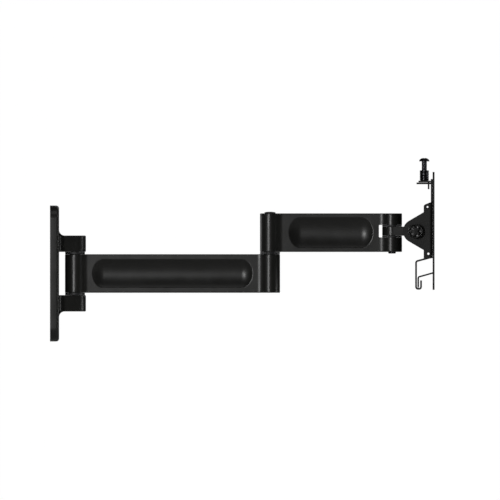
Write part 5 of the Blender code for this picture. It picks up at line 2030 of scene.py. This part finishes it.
@dataclass
class TiltBolt:
    """The level bolt through cheeks and block, its washers, and the hand knob with the nut inside it."""

    shop: Workshop
    shank: float = 3.0 * MM
    head_height: float = 3.4 * MM
    chamfer: float = 0.45 * MM
    socket_flats: float = 3.6 * MM
    pitch: float = 1.0 * MM
    depth: float = 0.35 * MM
    thread_length: float = 7.0 * MM
    washer_edge: float = 0.2 * MM
    rim: float = 1.5 * MM
    dish: float = 2.2 * MM
    lobes: int = 5
    hub_share: float = 0.56
    lobe_share: float = 0.26
    lobe_out_share: float = 0.62
    edge: float = 0.65 * MM
    scoop: tuple[float, float, float] = (4.5 * MM, 2.0 * MM, 7.0 * MM)
    flutes: int = 18
    flute: float = 0.45 * MM
    flute_out_share: float = 0.6
    pocket_gap: float = 0.24 * MM
    bowl_points: int = 8
    nut_flats: float = 10.0 * MM

    def build(self) -> None:
        """Makes the bolt, the washers, the knob and its nut."""
        self.bolt()
        self.washers()
        self.knob()

    def bolt(self) -> None:
        """The bolt, threaded at the knob's end."""
        low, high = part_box("tilt_bolt")
        length, head = high.y - low.y, (high.x - low.x) / 2
        under = length - self.head_height
        cut = self.chamfer
        profile = socket_pin(length, head, under, self.shank, cut, 0.2)
        ends = (-self.pitch, self.thread_length)
        mesh = self.shop.threaded(profile, ACROSS_STEEL, self.shank, self.pitch, self.depth, ends)
        deep = 0.6 * self.head_height
        socket = laid(cut_flat([hexagon(self.socket_flats)], 2 * deep), Lay.LEVEL, (0, 0, length))
        mesh = carved(mesh, less=[socket])
        axis = joint_place("tilt")
        laid(mesh, Lay.FAR_SIDE, (axis.x, low.y, axis.z))
        self.shop.hand_over(mesh, "tilt_bolt_steel", "head", ACROSS_STEEL, "tilt_bolt")

    def washers(self) -> None:
        """The friction washers beside the block, and the steel washer under the knob."""
        axis = joint_place("tilt")
        inner = self.shank + RUN_GAP
        for node, finish, word in (
            ("friction_washer_left", NYLON, "_disc"),
            ("friction_washer_right", NYLON, "_disc"),
            ("knob_washer", ACROSS_STEEL, "_steel"),
        ):
            outer, thickness = span(node, 0) / 2, span(node, 1)
            corners = [(inner, thickness), (outer, thickness), (outer, 0.0), (inner, 0.0)]
            mesh = turned(softened(corners, self.washer_edge), True)
            laid(mesh, Lay.FAR_SIDE, (axis.x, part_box(node)[0].y, axis.z))
            self.shop.hand_over(mesh, node + word, "head", finish, node)

    def knob(self) -> None:
        """The moulded knob: a fluted ring round a dished face, with a star of round lobes in the dish."""
        low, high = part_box("tilt_knob")
        radius, length = (high.x - low.x) / 2, high.y - low.y
        dish_radius = radius - self.rim
        floor = length - self.dish
        corners = [(0, floor), (dish_radius, floor), (dish_radius, length)]
        corners += [(radius, length), (radius, 0), (0, 0)]
        body = turned(softened(corners, self.edge, closed=False))
        top = length - self.edge
        hub = self.boss(dish_radius * self.hub_share, floor - self.edge, top)
        lobe = self.boss(dish_radius * self.lobe_share, floor - self.edge, top)
        out, first = dish_radius * self.lobe_out_share, math.pi / self.lobes
        star = carved(hub, plus=[self.shop.ringed(lobe, GLOSSY_PLASTIC, self.lobes, out, first)])
        flute = stepped_bore(length + PAST, [(self.flute, -PAST)])
        out = radius + self.flute_out_share * self.flute
        flutes = self.shop.ringed(flute, GLOSSY_PLASTIC, self.flutes, out, 0.0)
        mesh = carved(body, less=[flutes, self.nut_pocket(), self.scoops(floor)], plus=[star])
        axis = joint_place("tilt")
        laid(mesh, Lay.SIDE, (axis.x, high.y, axis.z))
        self.shop.hand_over(mesh, "tilt_knob_moulding", "knob", GLOSSY_PLASTIC, "tilt_knob")
        low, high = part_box("knob_nut")
        mesh = hex_nut(self.nut_flats, high.y - low.y, self.shank + RUN_GAP)
        laid(mesh, Lay.SIDE, (axis.x, high.y, axis.z))
        self.shop.hand_over(mesh, "knob_nut_steel", "knob", ACROSS_STEEL, "knob_nut")

    def scoops(self, floor: float) -> bpy.types.Mesh:
        """The shallow hollows in the dish between the lobes.

        Args:
            floor: The height of the dish's floor.

        Returns:
            The cutter.
        """
        out, radius, ball = self.scoop
        rise = math.sqrt(ball**2 - radius**2)
        steep = math.asin(radius / ball)
        angles = [steep * i / self.bowl_points for i in range(self.bowl_points, -1, -1)]
        bowl = [(ball * math.sin(a), floor + rise - ball * math.cos(a)) for a in angles]
        cutter = turned([(0.0, floor + self.edge), (radius, floor + self.edge)] + bowl)
        return self.shop.ringed(cutter, GLOSSY_PLASTIC, self.lobes, out, 0.0)

    def boss(self, radius: float, low: float, high: float) -> bpy.types.Mesh:
        """A round boss with a soft top edge."""
        corners = [(0, high), (radius, high), (radius, low), (0, low)]
        return turned(softened(corners, self.edge / 2, closed=False))

    def nut_pocket(self) -> bpy.types.Mesh:
        """The hexagon pocket in the knob's back that the nut is pressed into."""
        depth = span("knob_nut", 1) + 2 * REST_GAP
        return cut_flat([hexagon(self.nut_flats + self.pocket_gap)], 2 * depth)


# ---- Studio ----------------------------------------------------------------------------------------------


@dataclass(frozen=True)
class Panel:
    """A soft light panel that faces the mount, placed by its bearing from the camera's side."""

    name: str
    bearing: float
    height: float
    width: float
    tall: float
    watts: float
    distance: float = 1.5


@dataclass
class Studio:
    """The camera, the pale floor, the white backdrop and the lights."""

    view_width: float = 0.5
    view_middle: tuple[float, float] = (0.200, 0.0235)
    floor_z: float = -0.30
    floor_reach: float = 3.0
    backdrop_radius: float = 8.0
    camera_distance: float = 1.4
    fill: float = 0.03
    panels: Sequence[Panel] = (
        Panel("key", -16.5, 4.5, 0.22, 0.70, 38.0, distance=4.0),
        Panel("left_rim", -128.0, 5.0, 0.60, 1.20, 3.0),
        Panel("right_rim", 84.0, 5.0, 0.25, 1.20, 6.0),
        Panel("overhead", 0.0, 60.0, 1.00, 0.60, 1.5),
        Panel("behind", 160.0, 30.0, 1.20, 1.20, 2.0),
    )

    def build(self) -> None:
        """Sets up the studio round the mount."""
        self.camera()
        self.stage()
        for panel in self.panels:
            self.light(panel)
        world = bpy.data.worlds.new("studio")
        world.use_nodes = True
        backdrop = world.node_tree.nodes["Background"]
        backdrop.inputs["Color"].default_value = linear("#ffffff")
        backdrop.inputs["Strength"].default_value = self.fill
        bpy.context.scene.world = world
        bpy.context.scene.view_settings.view_transform = "Standard"

    def camera(self) -> None:
        """A level camera square to the mount's side, so far off that nothing converges."""
        data = bpy.data.cameras.new("camera")
        data.type = "ORTHO"
        data.ortho_scale = self.view_width
        camera = bpy.data.objects.new("camera", data)
        camera.location = (self.view_middle[0], -self.camera_distance, self.view_middle[1])
        camera.rotation_euler = (math.pi / 2, 0, 0)
        bpy.context.scene.collection.objects.link(camera)
        bpy.context.scene.camera = camera

    def stage(self) -> None:
        """The floor below the mount, and a white backdrop all round that only the camera sees."""
        floor = bpy.data.meshes.new("floor")
        edit = bmesh.new()
        bmesh.ops.create_grid(edit, x_segments=1, y_segments=1, size=self.floor_reach)
        bmesh.ops.translate(edit, vec=(self.view_middle[0], 0, self.floor_z), verts=edit.verts)
        edit.to_mesh(floor)
        edit.free()
        material, tree, shader = new_material("pale floor")
        where = add(tree, "ShaderNodeTexCoord").outputs["Object"]
        cloud = add(tree, "ShaderNodeTexNoise", {"Vector": where, "Scale": 4.0})
        greys = {"Factor": cloud.outputs["Fac"], 6: linear("#e4e4e2"), 7: linear("#ececea")}
        tone = add(tree, "ShaderNodeMix", greys, data_type="RGBA")
        tree.links.new(tone.outputs[2], shader.inputs["Base Color"])
        shader.inputs["Roughness"].default_value = 0.9
        floor.materials.append(material)
        ground = bpy.data.objects.new("floor", floor)

        dome = bpy.data.meshes.new("backdrop")
        edit = bmesh.new()
        bmesh.ops.create_uvsphere(edit, u_segments=32, v_segments=16, radius=self.backdrop_radius)
        bmesh.ops.reverse_faces(edit, faces=edit.faces)
        edit.to_mesh(dome)
        edit.free()
        material, tree, shader = new_material("white backdrop")
        shader.inputs["Base Color"].default_value = linear("#000000")
        shader.inputs["Emission Color"].default_value = linear("#ffffff")
        shader.inputs["Emission Strength"].default_value = 1.0
        dome.materials.append(material)
        backdrop = bpy.data.objects.new("backdrop", dome)
        backdrop.visible_diffuse = False
        backdrop.visible_glossy = False
        backdrop.visible_transmission = False
        backdrop.visible_shadow = False
        for obj in (ground, backdrop):
            bpy.context.scene.collection.objects.link(obj)

    def light(self, panel: Panel) -> None:
        """Places a light panel and turns it to the mount.

        Args:
            panel: The panel.
        """
        data = bpy.data.lights.new(panel.name, "AREA")
        data.shape = "RECTANGLE"
        data.size, data.size_y = panel.width, panel.tall
        data.energy = panel.watts
        around, up = math.radians(panel.bearing), math.radians(panel.height)
        out = Vector((math.sin(around) * math.cos(up), -math.cos(around) * math.cos(up), math.sin(up)))
        lamp = bpy.data.objects.new(panel.name, data)
        lamp.location = Vector((self.view_middle[0], 0, self.view_middle[1])) + out * panel.distance
        lamp.rotation_mode = "QUATERNION"
        lamp.rotation_quaternion = (-out).to_track_quat("-Z", "Y")
        bpy.context.scene.collection.objects.link(lamp)


# ---- The whole mount -------------------------------------------------------------------------------------


def main() -> None:
    """Builds the studio and every piece."""
    logging.basicConfig(level=logging.INFO, format="%(name)s: %(message)s")
    Studio().build()
    shop = Workshop()
    for part in (
        Arms(shop),
        WallPlate(shop),
        TurnedPieces(shop),
        SwivelBlock(shop),
        TiltBracket(shop),
        ScreenPlate(shop),
        LockScrews(shop),
        TiltBolt(shop),
    ):
        part.build()


if __name__ == "__main__":
    main()
